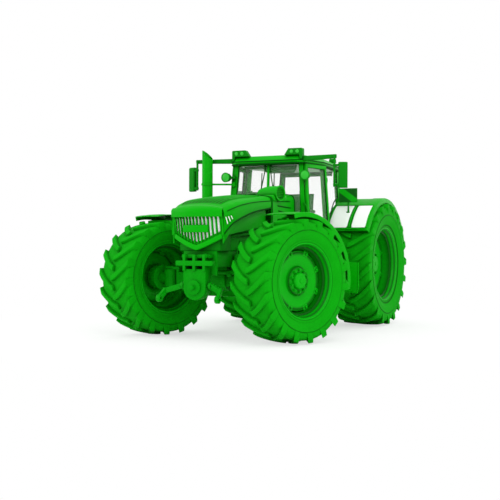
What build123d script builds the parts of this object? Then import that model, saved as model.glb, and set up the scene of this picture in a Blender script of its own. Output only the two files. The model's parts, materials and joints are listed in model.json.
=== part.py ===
"""Full-size farm tractor with a sloping bonnet, four-post cab, steered front axle and linkages front and rear.

Millimetres. +X is forward, +Y is the driver's left, +Z is up. The ground is z = 0 and the origin lies on it,
half way between the tips of the front and the rear lower links. The front wheels stand steered to the right.
"""

from build123d import *
import os
from math import atan2, cos, degrees, hypot, radians, sin

# ---------------------------------------------------------------- driving sizes
CAB_FRONT = 1740  # front of the cab, ahead of the rear axle
NOSE_LENGTH = 1410  # from there on to the front axle
WHEELBASE = CAB_FRONT + NOSE_LENGTH
FRONT_REACH = 950  # from the front axle to the tips of the front lower links
REAR_REACH = 1100  # from the rear axle to the tips of the rear lower links
FRONT_X = (WHEELBASE + REAR_REACH - FRONT_REACH) / 2  # front axle
REAR_X = FRONT_X - WHEELBASE  # rear axle

STEER_AT_REST = 20  # degrees to the right
KINGPIN_Y = 800
FRONT_TRACK_HALF = 1100
REAR_TRACK_HALF = 1000

RUNNING_GAP = 0.5  # between faces of pieces that turn on each other
SEAM = 5  # between panels that open and what they close on

# wheel sizes: lug tip radius, half section, rim flange radius, bead seat radius, half rim width, disc offset;
# rim_sides divides four times the number of lugs, so that tyre and rim have corners at the same places
FRONT_WHEEL = dict(tip=815, half=325, flange=488, seat=468, rim_half=265, disc=110, hub=170, lugs=18, lug_h=42, rim_sides=24)
REAR_WHEEL = dict(tip=980, half=355, flange=580, seat=556, rim_half=290, disc=60, hub=200, lugs=20, lug_h=50, rim_sides=20)
WHEEL_SWEEP = 1200  # from the front axle back to the boxes under the cab, clear of the steered wheels
RIM_WALL = 16
DISC_WALL = 22

MUDGUARD_GAP = 62  # from the lug tips to the front mudguard
MUDGUARD_WALL = 12
MUDGUARD_HALF = 275
MUDGUARD_AHEAD = 14  # degrees ahead of the top
MUDGUARD_SWEEP = 112

FENDER_GAP = 55  # from the lug tips to the rear fender
FENDER_WALL = 25
FENDER_IN_Y = 600
FENDER_OUT_Y = 1310
FENDER_AHEAD = 60  # degrees ahead of the top
FENDER_SWEEP = 135
FENDER_SIDES = 14

# bonnet sections: distance ahead of the front axle, half width, lower edge, shoulder and top heights
BONNET_SECTIONS = [
    (-600, 450, 1790, 1895, 1985),
    (-60, 448, 1712, 1850, 1936),
    (300, 438, 1618, 1795, 1893),
    (500, 420, 1540, 1745, 1850),
    (665, 385, 1405, 1690, 1785),
]
BONNET_WALL = 14
BONNET_BEVEL = 85  # how far the top's flat part stands in from the side
BONNET_GAP = 25  # to the cowl behind it
NOSE_TIP = 775  # ahead of the front axle, on the centreline
NOSE_BOTTOM_Z = 1250
NOSE_TOP_Z = 1700
COWL_SECTIONS = [  # the same columns as the bonnet's
    (-NOSE_LENGTH, 462, 1320, 1920, 2045),
    (BONNET_SECTIONS[0][0] - BONNET_GAP, 452, 1575, 1895, 1987),
]
GRILLE_SLATS = 14
GRILLE_DEPTH = 34

# cab: distances ahead of the rear axle, half widths low and high, heights
CAB_DOOR_REAR = 1100
CAB_REAR = 110
CAB_FLOOR_Z = 1130
CAB_FLOOR_WALL = 70
SILL_Z = 1150
HEAD_Z = 2490
ROOF_TOP_Z = HEAD_Z + 130
LAMP_TOP_Z = ROOF_TOP_Z + 92
CAB_HALF_A = 655  # at the sill of the front pillar
CAB_HALF_B = 755
CAB_HALF_C = 600
CAB_LEAN = 100  # each pillar's head stands in from its foot
MIRROR_Z = (HEAD_Z - 390, HEAD_Z - 15)
MIRROR_ARM_Z = HEAD_Z + 66
MIRROR_TURN = 23  # degrees towards the driver
PILLAR_LAMP_Z = HEAD_Z - 185
STACK_TIP_Z = LAMP_TOP_Z + 10
STACK_SLANT = 42  # degrees by which the mouth falls towards the cab
PILLAR = 62
GLASS = 6
DOOR_WALL = 36

AXLE_BEAM_R = 90
KNUCKLE_R = 95
KNUCKLE_HALF_H = 118
YOKE_WALL = 40
STEER_ARM = 240  # from the kingpin back to the tie rod's pin


# ---------------------------------------------------------------- small tools
def block(x, y, z):
    """A box from three (low, high) pairs."""
    return Pos(sum(x) / 2, sum(y) / 2, sum(z) / 2) * Box(x[1] - x[0], y[1] - y[0], z[1] - z[0])


def prism_y(outline, y0, y1):
    """An outline of (x, z) points, drawn out from y0 to y1."""
    face = make_face(Polyline([(x, y0, z) for x, z in outline], close=True))
    return extrude(face, amount=y1 - y0, dir=(0, 1, 0))


def prism_x(outline, x0, x1):
    """An outline of (y, z) points, drawn out from x0 to x1."""
    face = make_face(Polyline([(x0, y, z) for y, z in outline], close=True))
    return extrude(face, amount=x1 - x0, dir=(1, 0, 0))


def prism_z(outline, z0, z1):
    """An outline of (x, y) points, drawn out from z0 to z1."""
    face = make_face(Polyline([(x, y, z0) for x, y in outline], close=True))
    return extrude(face, amount=z1 - z0, dir=(0, 0, 1))


def rod(start, end, radius, sides=16, to_flats=False):
    """A round bar between two points in flat facets, its radius measured to the corners or to the flats."""
    a, b = Vector(start), Vector(end)
    plane = Plane(origin=a, z_dir=b - a)
    return extrude(plane * RegularPolygon(radius, sides, major_radius=not to_flats), amount=(b - a).length)


def hole(start, end, radius, sides=16):
    """What to cut so that a rod of this radius, in facets too, turns in it with the running gap."""
    return rod(start, end, radius + RUNNING_GAP, sides, True)


def octagon(start, end, radius):
    """An eight-sided bar or eye between two points, radius measured to its flats."""
    return rod(start, end, radius, 8, True)


def bar(start, end, wide, high, up=(0, 0, 1)):
    """A flat bar between two points: wide across, high along up."""
    a, b = Vector(start), Vector(end)
    along = (b - a).normalized()
    across = Vector(*up).cross(along).normalized()
    plane = Plane(origin=a, x_dir=across, z_dir=along)
    return plane * Box(wide, high, (b - a).length, align=(Align.CENTER, Align.CENTER, Align.MIN))


def flat_loops(loop, onward):
    """Corners of the faces between two outlines: one face where the four corners lie in a plane, else two."""
    loops, count = [], len(loop)
    for i in range(count):
        corners = []
        for p in (loop[i], loop[(i + 1) % count], onward[(i + 1) % count], onward[i]):
            if all((p - q).length > 1e-6 for q in corners):
                corners.append(p)
        if len(corners) < 3:
            continue
        normal = (corners[1] - corners[0]).cross(corners[2] - corners[0]).normalized()
        if len(corners) == 3 or abs((corners[3] - corners[0]).dot(normal)) < 1e-5:
            loops.append(corners)
        else:
            a, b, c, d = corners
            loops += [[a, b, c], [a, c, d]]
    return loops


def enclosed(loops):
    """Signed volume inside flat faces, positive when their corners run so that they face outwards."""
    return sum(a.dot(b.cross(c)) for a, *rest in loops for b, c in zip(rest, rest[1:])) / 6


def ring_loft(sections, closed=False):
    """A solid with flat faces through closed outlines of 3-D points, open with end caps or closed on itself."""
    sections = [[Vector(*p) for p in section] for section in sections]
    loops = []
    for a, b in zip(sections, sections[1:] + (sections[:1] if closed else [])):
        loops += flat_loops(a, b)
    if not closed:
        loops += [sections[0][::-1], sections[-1]]
    if enclosed(loops) < 0:
        loops = [loop[::-1] for loop in loops]
    return Solid(Shell([Face(Wire.make_polygon(loop, close=True)) for loop in loops]))


def turned(outline, centre, sides, sweep=360, start=0):
    """An outline of (across, radius) points carried round the wheel axis along Y at centre, in flat facets.

    start is the angle ahead of the top at which it begins; it then runs backwards.
    """
    cx, cy, cz = centre
    steps = sides if sweep == 360 else sides + 1
    sections = []
    for k in range(steps):
        angle = radians(start - sweep * k / sides)
        sections.append([(cx + r * sin(angle), cy + y, cz + r * cos(angle)) for y, r in outline])
    return ring_loft(sections, closed=sweep == 360)


def both(shape):
    """The shape and its mirror image across the centre plane, as one node of separate solids."""
    return Compound(children=[*shape.solids(), *mirror(shape, Plane.XZ).solids()])


def fused(first, *others):
    """One piece from several that touch or cross."""
    for other in others:
        first = first + other
    return first


def steer(shape, side):
    """Turns what stands on a front knuckle to the angle at which the wheels are left."""
    return shape.rotate(Axis((FRONT_X, side * KINGPIN_Y, 0), (0, 0, 1)), -STEER_AT_REST)


PARTS = {}


def keep(name, shape):
    """Stores a finished piece under its node name."""
    PARTS[name] = shape


# ---------------------------------------------------------------- wheels
BAR_ROWS = [  # share of the half width, drop below the tip, degrees turned back, half angle across the top
    (0.05, 0, 0.0, 1.7),
    (0.94, 14, 15.0, 2.3),
    (1.0, 150, 16.5, 2.3),
]
BAR_FLARE = 1.2  # degrees by which each flank widens to its foot
SHOULDER_SHARE = 0.93  # how much of the half width the tread between the bars has
SHOULDER_DROP = 10
WALL_IN = 10  # how far the sidewall stands in from the bars' outer ends


def half_tread(wheel, k, side):
    """The tyre's outline from the bead to near the middle at step k of four per tread bar: (y, radius, degrees)."""
    half, groove = wheel["half"], wheel["tip"] - wheel["lug_h"]
    step = 90 / wheel["lugs"]
    number, place = divmod(k if side > 0 else k + 2, 4)
    bar_mid = 4 * step * (number - (0 if side > 0 else 0.5))
    points = []
    for row, (share, drop, back, half_angle) in enumerate(BAR_ROWS):
        top = wheel["tip"] - drop
        if place in (1, 2):  # on the bar's top, which is flat, so its middle stands at the full radius
            y, r = share * half, top / cos(radians(half_angle))
        else:
            y, r = ((share * half, groove), (SHOULDER_SHARE * half, groove - SHOULDER_DROP), (half - WALL_IN, top))[row]
        off = half_angle + (BAR_FLARE if place in (0, 3) else 0)
        points.append((side * y, r, bar_mid - back + (off if place > 1 else -off)))
    bead = step * (k - round(1.5 + BAR_ROWS[-1][2] / step))
    half_side = 180 / wheel["rim_sides"]  # the bead lies on the rim's flat sides
    on_rim = cos(radians(half_side)) / cos(radians(bead % (2 * half_side) - half_side))
    points.append((side * (wheel["rim_half"] - BEAD_IN), wheel["flange"] * on_rim, bead))
    return points[::-1]


def tyre(wheel):
    """A tyre about the origin: carcass and tread bars in a V, one of them flat on the ground."""
    sections = []
    for k in range(4 * wheel["lugs"]):
        outline = half_tread(wheel, k, 1) + half_tread(wheel, k, -1)[::-1]
        sections.append([(r * sin(radians(180 + a)), y, r * cos(radians(180 + a))) for y, r, a in outline])
    return ring_loft(sections, closed=True)


BEAD_IN = 14  # the tyre's bead stands this far inside the rim's edge


def rim(wheel, centre, side):
    """A dished steel rim: barrel with rolled flanges, disc set in from the outer face and a hub cap."""
    w, flange, seat = wheel["rim_half"], wheel["flange"], wheel["seat"]
    disc, hub = wheel["disc"], wheel["hub"]
    wall = RIM_WALL
    outline = [
        (-w, flange), (w, flange), (w, flange - 30), (disc + DISC_WALL + 40, seat - wall - 20),
        (disc + DISC_WALL, hub + 40), (disc + 62, hub), (disc + 62, 0),
        (disc - 2, 0), (disc - 2, seat - wall - 60), (disc + 8, seat - wall - 20), (-w, flange - 30),
    ]
    return turned([(side * y, r) for y, r in outline], centre, wheel["rim_sides"])


def wheel_centre(wheel, axle_x, track_half, side):
    return (axle_x, side * track_half, wheel["tip"])


front_tyre, rear_tyre = tyre(FRONT_WHEEL), tyre(REAR_WHEEL)
for side, name in ((1, "left"), (-1, "right")):
    centre = wheel_centre(FRONT_WHEEL, FRONT_X, FRONT_TRACK_HALF, side)
    keep(f"front_tyre_{name}", steer(Pos(*centre) * front_tyre, side))
    keep(f"front_rim_{name}", steer(rim(FRONT_WHEEL, centre, side), side))
    centre = wheel_centre(REAR_WHEEL, REAR_X, REAR_TRACK_HALF, side)
    keep(f"rear_tyre_{name}", Pos(*centre) * rear_tyre)
    keep(f"rear_rim_{name}", rim(REAR_WHEEL, centre, side))

FRONT_Z = FRONT_WHEEL["tip"]
REAR_Z = REAR_WHEEL["tip"]


# ---------------------------------------------------------------- front axle, knuckles and steering
def front_axle():
    """Cast beam with a differential bulge in the middle, and a yoke for the knuckle at each end."""
    beam = None
    for side in (1, -1):
        half = ring_loft([
            [(FRONT_X + dx, side * y, FRONT_Z + dz) for dx, dz in ((-w, -h), (w, -h), (w, h), (-w, h))]
            for y, w, h in ((0, 120, 110), (330, 85, 85), (KINGPIN_Y - KNUCKLE_R - 25, 58, 80))
        ])
        y0, y1 = KINGPIN_Y - KNUCKLE_R - 60, KINGPIN_Y - KNUCKLE_R - 20
        back = block((FRONT_X - 58, FRONT_X + 58), sorted((side * y0, side * y1)),
                     (FRONT_Z - KNUCKLE_HALF_H - YOKE_WALL, FRONT_Z + KNUCKLE_HALF_H + YOKE_WALL))
        half = half + back
        for up in (1, -1):
            z0 = FRONT_Z + up * (KNUCKLE_HALF_H + RUNNING_GAP)
            z1 = FRONT_Z + up * (KNUCKLE_HALF_H + YOKE_WALL)
            half = half + block((FRONT_X - 58, FRONT_X + 58), sorted((side * y0, side * (KINGPIN_Y + 55))), sorted((z0, z1)))
        beam = half if beam is None else beam + half
    bulge = rod((FRONT_X, -125, FRONT_Z), (FRONT_X, 125, FRONT_Z), 165)
    saddle = block((FRONT_X - 150, FRONT_X + 150), (-160, 160), (FRONT_Z + 60, FRAME_LOW_Z))
    return fused(beam, bulge, saddle)


def knuckle(side):
    """Barrel between the yoke's jaws, final-drive housing out to the wheel's disc, and the steering arm."""
    cy, wy = side * KINGPIN_Y, side * FRONT_TRACK_HALF
    disc_y = FRONT_TRACK_HALF + FRONT_WHEEL["disc"]
    barrel = rod((FRONT_X, cy, FRONT_Z - KNUCKLE_HALF_H), (FRONT_X, cy, FRONT_Z + KNUCKLE_HALF_H), KNUCKLE_R, 12)
    drive = rod((FRONT_X, cy, FRONT_Z), (FRONT_X, side * (FRONT_TRACK_HALF - 120), FRONT_Z), 105, 12)
    drum = rod((FRONT_X, side * (FRONT_TRACK_HALF - 120), FRONT_Z), (FRONT_X, side * (FRONT_TRACK_HALF + 20), FRONT_Z), 175, 16)
    spindle = rod((FRONT_X, wy, FRONT_Z), (FRONT_X, side * (disc_y - 2 - RUNNING_GAP), FRONT_Z), 110, 12)
    drive = rod((FRONT_X, cy, FRONT_Z), (FRONT_X, side * (FRONT_TRACK_HALF - 120), FRONT_Z), 90, 12)
    arm = block((FRONT_X - STEER_ARM - 40, FRONT_X), sorted((cy - 32, cy + 32)), (FRONT_Z - 25, FRONT_Z + 10))
    pin = rod((FRONT_X - STEER_ARM, cy, FRONT_Z - 80), (FRONT_X - STEER_ARM, cy, FRONT_Z - 20), 17)
    return fused(barrel, drive, drum, spindle, arm, pin)


def mudguard(side):
    """Front mudguard: a rolled sheet over the tyre with a turned-down outer lip, on one bent stay."""
    centre = wheel_centre(FRONT_WHEEL, FRONT_X, FRONT_TRACK_HALF, side)
    r0 = FRONT_WHEEL["tip"] + MUDGUARD_GAP
    r1 = r0 + MUDGUARD_WALL
    half, lip = MUDGUARD_HALF, MUDGUARD_WALL
    outline = [(-half, r0), (half - lip, r0), (half - lip, r0 - 46), (half, r0 - 46), (half, r1), (-half, r1)]
    sheet = turned([(side * y, r) for y, r in outline], centre, 14, MUDGUARD_SWEEP, MUDGUARD_AHEAD)
    inner_y = FRONT_TRACK_HALF - FRONT_WHEEL["half"] - 42
    x = FRONT_X - 190
    up = ((r0 + 6) ** 2 - (x - FRONT_X) ** 2) ** 0.5
    foot = block((x - 32, x + 32), sorted((side * (inner_y - 11), side * (KINGPIN_Y - 32))), (FRONT_Z - 22, FRONT_Z + 8))
    post = block((x - 35, x + 35), sorted((side * (inner_y - 11), side * (inner_y + 11))), (FRONT_Z - 22, FRONT_Z + up - 10))
    reach = block((x - 20, x + 20), sorted((side * inner_y, side * (FRONT_TRACK_HALF + 60))), (FRONT_Z + up - 22, FRONT_Z + up - 2))
    return fused(sheet, post, reach, foot) - knuckle(side)


def tie_rod():
    """Bar behind the axle between the two steering arms."""
    turn = radians(STEER_AT_REST)
    shift_x, shift_y = -STEER_ARM * cos(turn), STEER_ARM * sin(turn)
    z = FRONT_Z - 62
    ends = [(FRONT_X + shift_x, side * KINGPIN_Y + shift_y, z) for side in (1, -1)]
    shape = octagon((ends[0][0], ends[0][1] - 30, z), (ends[1][0], ends[1][1] + 30, z), 16)
    for x, y, _ in ends:
        shape = shape + (octagon((x, y, z - 17), (x, y, z + 17), 36) - hole((x, y, z - 20), (x, y, z + 20), 17))
    return shape


# ---------------------------------------------------------------- chassis
FRAME_LOW_Z = 985
FRAME_HIGH_Z = 1200
FRAME_OUT_Y = 250
FRAME_IN_Y = 175


def front_frame():
    """Two side rails from the gearbox to the nose, joined by a cross casting at the front."""
    x0, x1 = FRONT_X - 1010, FRONT_X + 560
    rail = prism_y([(x0, FRAME_LOW_Z + 30), (x0 + 500, FRAME_LOW_Z), (x1, FRAME_LOW_Z), (x1, FRAME_HIGH_Z), (x0, FRAME_HIGH_Z)],
                   FRAME_IN_Y, FRAME_OUT_Y)
    cross = block((FRONT_X - 190, FRONT_X + 190), (-FRAME_IN_Y, FRAME_IN_Y), (FRAME_LOW_Z, FRAME_LOW_Z + 90))
    return fused(rail, mirror(rail, Plane.XZ), cross)


def engine_block():
    """Plain mass of the engine on the rails, with its sump between them."""
    top = block((FRONT_X - 980, FRONT_X + 230), (-262, 262), (FRAME_HIGH_Z, 1560))
    sump = block((FRONT_X - 960, FRONT_X - 330), (-FRAME_IN_Y + SEAM, FRAME_IN_Y - SEAM), (780, FRAME_HIGH_Z))
    return top + sump


def radiator():
    return block((FRONT_X + 300, FRONT_X + 600), (-300, 300), (FRAME_HIGH_Z, 1680))


def transmission():
    """Gearbox and rear axle centre as one stepped casting."""
    box = prism_y([(FRONT_X - 1010, 640), (FRONT_X - 1010, 1045), (REAR_X, 1045), (REAR_X - 60, 1130),
                   (REAR_X - 330, 1130), (REAR_X - 330, 640), (REAR_X + 300, 600)], -245, 245)
    return box


def rear_axle():
    """Axle trumpets with a flange at each wheel."""
    disc_y = REAR_TRACK_HALF + REAR_WHEEL["disc"] - 2 - RUNNING_GAP
    outline = [(245, 0), (245, 185), (330, 185), (420, 130), (disc_y - 200, 130), (disc_y - 200, 190), (disc_y, 190), (disc_y, 0)]
    return both(turned(outline, (REAR_X, 0, REAR_Z), 12))


# ---------------------------------------------------------------- bonnet, grille, cowl
def bonnet_section(dx, half, low, shoulder, top, inset=0, drop=0):
    """Closed outline of one bonnet section, inset by the wall for the inside."""
    w, s, t = half - inset, shoulder - inset * 0.4, top - inset
    flat = half - BONNET_BEVEL - inset * 0.6
    rise = t - 26
    x = FRONT_X + dx
    right = [(x, -w, low - drop), (x, -w, s), (x, -flat, rise), (x, -flat * 0.45, t)]
    return right + [(px, -py, pz) for px, py, pz in reversed(right)]


def bonnet_shell():
    outer = ring_loft([bonnet_section(*s) for s in BONNET_SECTIONS])
    first, last = BONNET_SECTIONS[0], BONNET_SECTIONS[-1]
    inner = [(first[0] - 20, *first[1:]), *BONNET_SECTIONS, (last[0] + 20, *last[1:])]
    inner = ring_loft([bonnet_section(*s, inset=BONNET_WALL, drop=250) for s in inner])
    return outer - inner


def nose_outline(grow=0.0):
    """Plan of the nose as (x, y): straight cheeks and a bowed front."""
    x_back, x_corner, x_tip = FRONT_X + BONNET_SECTIONS[-1][0], FRONT_X + 690, FRONT_X + NOSE_TIP
    half = BONNET_SECTIONS[-1][1] - 4
    corner = half - 28
    return x_back, x_corner, x_tip, half - grow, corner - grow


def nose_solid(z0, z1, inset=0.0):
    x_back, x_corner, x_tip, half, corner = nose_outline(inset)
    lines = [
        Line((x_back, -half, z0), (x_corner - inset, -corner, z0)),
        ThreePointArc((x_corner - inset, -corner, z0), (x_tip - inset, 0, z0), (x_corner - inset, corner, z0)),
        Line((x_corner - inset, corner, z0), (x_back, half, z0)),
        Line((x_back, half, z0), (x_back, -half, z0)),
    ]
    return extrude(make_face(lines), amount=z1 - z0, dir=(0, 0, 1))


def grille():
    """Nose frame: chin bar, brow, cheeks and upright slats, with a blank plate across the middle."""
    chin = nose_solid(NOSE_BOTTOM_Z, NOSE_BOTTOM_Z + 60) - nose_solid(NOSE_BOTTOM_Z - 1, NOSE_BOTTOM_Z + 61, GRILLE_DEPTH)
    brow = nose_solid(1655, NOSE_TOP_Z) - nose_solid(1654, NOSE_TOP_Z + 1, GRILLE_DEPTH)
    shape = chin + brow
    x_back, x_corner, x_tip, half, corner = nose_outline()
    # radius of the bowed front from its chord and rise
    rise = x_tip - x_corner
    radius = (corner**2 + rise**2) / (2 * rise)
    for k in range(GRILLE_SLATS):
        y = -corner + 12 + (2 * corner - 24) * k / (GRILLE_SLATS - 1)
        x_front = x_tip - radius + (radius**2 - y**2) ** 0.5 - 4
        shape = shape + block((x_front - 26, x_front), (y - 7, y + 7), (NOSE_BOTTOM_Z + 30, 1670))
    for side in (1, -1):
        shape = shape + block((x_back, x_back + 24), sorted((side * (half - 20), side * half)), (NOSE_BOTTOM_Z + 30, 1670))
    plate_x = x_tip - radius + (radius**2 - 175**2) ** 0.5
    shape = shape + block((plate_x - 20, x_tip - 3), (-175, 175), (1440, 1530))
    return shape


def brow_panel():
    """Top of the nose between the bonnet's front edge and the brow."""
    x_back, x_corner, x_tip, half, corner = nose_outline()
    last = BONNET_SECTIONS[-1]
    flat = last[1] - BONNET_BEVEL
    low = ring_loft([
        [(x_back, -half, NOSE_TOP_Z), (x_corner, -corner, NOSE_TOP_Z), (x_tip - 18, 0, NOSE_TOP_Z),
         (x_corner, corner, NOSE_TOP_Z), (x_back, half, NOSE_TOP_Z)],
        [(x_back, -flat, last[4] - 14), (x_back + 6, -flat + 40, last[4] - 14), (x_back + 26, 0, last[4] - 14),
         (x_back + 6, flat - 40, last[4] - 14), (x_back, flat, last[4] - 14)],
    ])
    return low


def cowl():
    """Fixed hood between the bonnet and the cab."""
    rows = COWL_SECTIONS
    (x1, *_), (x0, *_) = rows
    outer = ring_loft([bonnet_section(*r) for r in rows])
    inner = [(x1 - 20, *rows[0][1:]), *rows, (x0 + 20, *rows[1][1:])]
    return outer - ring_loft([bonnet_section(*r, inset=BONNET_WALL, drop=250) for r in inner])


def side_shields():
    """Panels under the bonnet's lower edge on each side of the engine, on brackets from engine and radiator."""
    edge = [(FRONT_X + dx, low - SEAM - 3) for dx, _, low, _, _ in BONNET_SECTIONS[:-1]]
    lower = [(FRONT_X + 650, 1400), (FRONT_X + 650, NOSE_BOTTOM_Z + 45), (FRONT_X + 500, 1410), (FRONT_X + 10, 1470),
             (FRONT_X - 600, 1545)]
    panel = prism_y(edge + lower, 362, 374)
    front = block((FRONT_X + 360, FRONT_X + 540), (300, 362), (1480, 1500))
    back = block((FRONT_X - 460, FRONT_X - 400), (262, 362), (1535, 1555))
    (xa, _, za, _, _), (xb, _, zb, _, _) = BONNET_SECTIONS[1:3]
    low = [(FRONT_X + x, za + (zb - za) * (x - xa) / (xb - xa)) for x in (80, 130)]
    buffer = prism_y([*low, *[(x, z - 14) for x, z in reversed(low)]], 362, 440)
    return both(fused(panel, front, back, buffer))


# ---------------------------------------------------------------- cab
POSTS = {  # distance ahead of the rear axle at the sill and at the head
    "a": (CAB_FRONT, CAB_FRONT - 60),
    "b": (CAB_DOOR_REAR, CAB_DOOR_REAR),
    "c": (CAB_REAR, CAB_REAR + 40),
}


def wall_y(x, z, door_wall=False):
    """Half width of the glass house: flat walls from pillar to pillar, leaning in together."""
    rel = x - REAR_X
    if door_wall or rel > CAB_DOOR_REAR:
        half = CAB_HALF_B + (CAB_HALF_A - CAB_HALF_B) * (rel - CAB_DOOR_REAR) / (CAB_FRONT - CAB_DOOR_REAR)
    else:
        half = CAB_HALF_B + (CAB_HALF_C - CAB_HALF_B) * (CAB_DOOR_REAR - rel) / (CAB_DOOR_REAR - CAB_REAR)
    return half - CAB_LEAN * (z - SILL_Z) / (HEAD_Z - SILL_Z)


def post_point(post, z):
    """Point on the outer line of a pillar at height z."""
    foot, head = POSTS[post]
    x = REAR_X + foot + (head - foot) * (z - SILL_Z) / (HEAD_Z - SILL_Z)
    return (x, wall_y(x, z), z)


def pillar(post, depth, width):
    """A leaning post of constant section, its outer corner on the wall line."""
    sections = []
    for z in (SILL_Z, HEAD_Z):
        x, y, _ = post_point(post, z)
        sections.append([(x - depth, y - width, z), (x, y - width, z), (x, y, z), (x - depth, y, z)])
    return ring_loft(sections)


def cab_pillars():
    """Six posts; the middle ones carry the door hinges' pins."""
    middle = fused(pillar("b", PILLAR + 14, PILLAR), *hinge_pins())
    posts = [pillar("a", PILLAR, PILLAR), middle, pillar("c", PILLAR + 30, PILLAR)]
    return Compound(children=[s for p in posts for s in both(p).solids()])


def cab_floor():
    """Platform with a raised rear part over the axle, fitted round the pillars and walls."""
    a, b = (REAR_X + POSTS[p][0] for p in "ab")
    plan = [(a, CAB_HALF_A), (b, CAB_HALF_B), (b - 80, CAB_HALF_B), (b - 80, CAB_HALF_C), (REAR_X + 260, CAB_HALF_C)]
    plan = plan + [(x, -y) for x, y in reversed(plan)]
    deck = prism_z(plan, SILL_Z - CAB_FLOOR_WALL, SILL_Z)
    riser = block((REAR_X + 260, REAR_X + 300), (-CAB_HALF_C, CAB_HALF_C), (SILL_Z, RAISED_Z))
    plate = block((REAR_X + 18, b - 330), (-CAB_HALF_C, CAB_HALF_C), (RAISED_Z - CAB_FLOOR_WALL, RAISED_Z))
    return fused(deck, riser, plate)


RAISED_Z = SILL_Z + 170


def cab_roof():
    """Roof slab: flat middle, chamfered rim, drawn in towards the front."""
    a, b, c = (REAR_X + POSTS[p][1] for p in "abc")
    ya, yb, yc = (post_point(p, HEAD_Z)[1] for p in "abc")

    def plan(grow, z):
        right = [(c - 60 - grow, yc + grow, z), (b, yb + grow, z), (a + 20, ya + 25 + grow, z), (a + 70 + grow, ya - 60, z)]
        return right + [(x, -y, z) for x, y, z in reversed(right)]

    low = ring_loft([plan(8, HEAD_Z), plan(30, HEAD_Z + 45)])
    top = ring_loft([plan(30, HEAD_Z + 45), plan(-60, ROOF_TOP_Z)])
    return low + top


def flat_panel(corners, wall):
    """A flat plate through coplanar corners, wall thick along the normal given by their order (right hand)."""
    face = make_face(Polyline([Vector(*p) for p in corners], close=True))
    normal = (Vector(*corners[1]) - Vector(*corners[0])).cross(Vector(*corners[2]) - Vector(*corners[1])).normalized()
    return extrude(face, amount=wall, dir=tuple(normal))


def on_wall(x, z, out=0.0, door_wall=False):
    return (x, wall_y(x, z, door_wall) + out, z)


def firewall():
    """Upright panel ahead of the pedals, with the front corners of the cab closed beside the hood."""
    x1 = REAR_X + CAB_FRONT
    low, high = post_point("a", SILL_Z)[1] - PILLAR, post_point("a", FIREWALL_Z)[1] - PILLAR
    return prism_x([(-low, SILL_Z), (low, SILL_Z), (high, FIREWALL_Z), (-high, FIREWALL_Z)], x1 - 75, x1)


FIREWALL_Z = 1745
REAR_SILL_Z = 1600


def windscreen():
    """One flat pane between the front pillars, from the firewall to the roof."""
    corners = []
    for side in (1, -1):
        for z in (FIREWALL_Z + 2, HEAD_Z - 2)[::side]:
            x, y, _ = post_point("a", z)
            corners.append((x - 20, side * (y - PILLAR), z))
    return flat_panel([corners[0], corners[1], corners[2], corners[3]], GLASS)


def rear_wall():
    """Lower rear wall of the cab between the rear pillars."""
    low, high = post_point("c", RAISED_Z)[1] - PILLAR, post_point("c", REAR_SILL_Z)[1] - PILLAR
    x0 = REAR_X + CAB_REAR - 80
    return prism_x([(-low, RAISED_Z), (low, RAISED_Z), (high, REAR_SILL_Z), (-high, REAR_SILL_Z)], x0, x0 + 45)


def rear_window():
    corners = []
    for side in (1, -1):
        for z in (REAR_SILL_Z + 2, HEAD_Z - 2)[::side]:
            x, y, _ = post_point("c", z)
            corners.append((x - 60, side * (y - PILLAR), z))
    return flat_panel(corners, GLASS)


def fender_z(x, gap=0.0):
    """Height of the rear fender's outer face above x."""
    r = REAR_WHEEL["tip"] + FENDER_GAP + FENDER_WALL + gap
    return REAR_Z + (r**2 - (x - REAR_X) ** 2) ** 0.5


def quarter_glass():
    """Side panes behind the doors, cut along the fenders."""
    b = REAR_X + CAB_DOOR_REAR - PILLAR - 14
    r = REAR_WHEEL["tip"] + FENDER_GAP + FENDER_WALL + 14
    arc = [(REAR_X + r * sin(radians(a)), REAR_Z + r * cos(radians(a))) for a in (66, 56, 46, 36, 26, 17, 8.5)]
    (x0, z0), (x1, z1) = arc[0], arc[-1]
    outline = [(b, z0), *arc, (post_point("c", z1)[0] + 0.5, z1), (post_point("c", HEAD_Z - 2)[0] + 0.5, HEAD_Z - 2), (b, HEAD_Z - 2)]
    return both(flat_panel([on_wall(x, z, -20) for x, z in outline], GLASS))


def door_corners(border, out):
    """Corners of the left door drawn in by a border, out from the pillars' faces, in the order that thickens inwards."""
    z0, z1 = SILL_Z + SEAM + border, HEAD_Z - SEAM - border
    xa0, xa1 = (post_point("a", z)[0] - 12 - border for z in (z0, z1))
    xb = REAR_X + CAB_DOOR_REAR - 12 + border
    return [on_wall(x, z, out, True) for x, z in ((xa0, z0), (xa1, z1), (xb, z1), (xb, z0))]


HINGE_BACK = 40  # door hinge axis behind the pillar's front line
HINGE_OUT = 26
HINGE_PIN = 9
HINGE_HEIGHTS = (SILL_Z + 180, HEAD_Z - 210)


def hinge_plane(z):
    """Local frame on the left door's hinge line: z up the leaning pillar, y outwards."""
    lean = Vector(0, -CAB_LEAN, HEAD_Z - SILL_Z)
    x = REAR_X + CAB_DOOR_REAR
    return Plane(origin=(x - HINGE_BACK, wall_y(x, z, True) + HINGE_OUT, z), x_dir=(1, 0, 0), z_dir=lean)


def hinge_pins():
    """Fixed halves of the door hinges: a lug on the pillar and its upright pin."""
    pins = []
    for z in HINGE_HEIGHTS:
        lug = Pos(-3, -HINGE_OUT / 2 + 2, -39) * Box(24, HINGE_OUT + 8, 17)
        pins.append(hinge_plane(z) * (lug + rod((0, 0, -43), (0, 0, 33), HINGE_PIN, 12)))
    return pins


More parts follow.
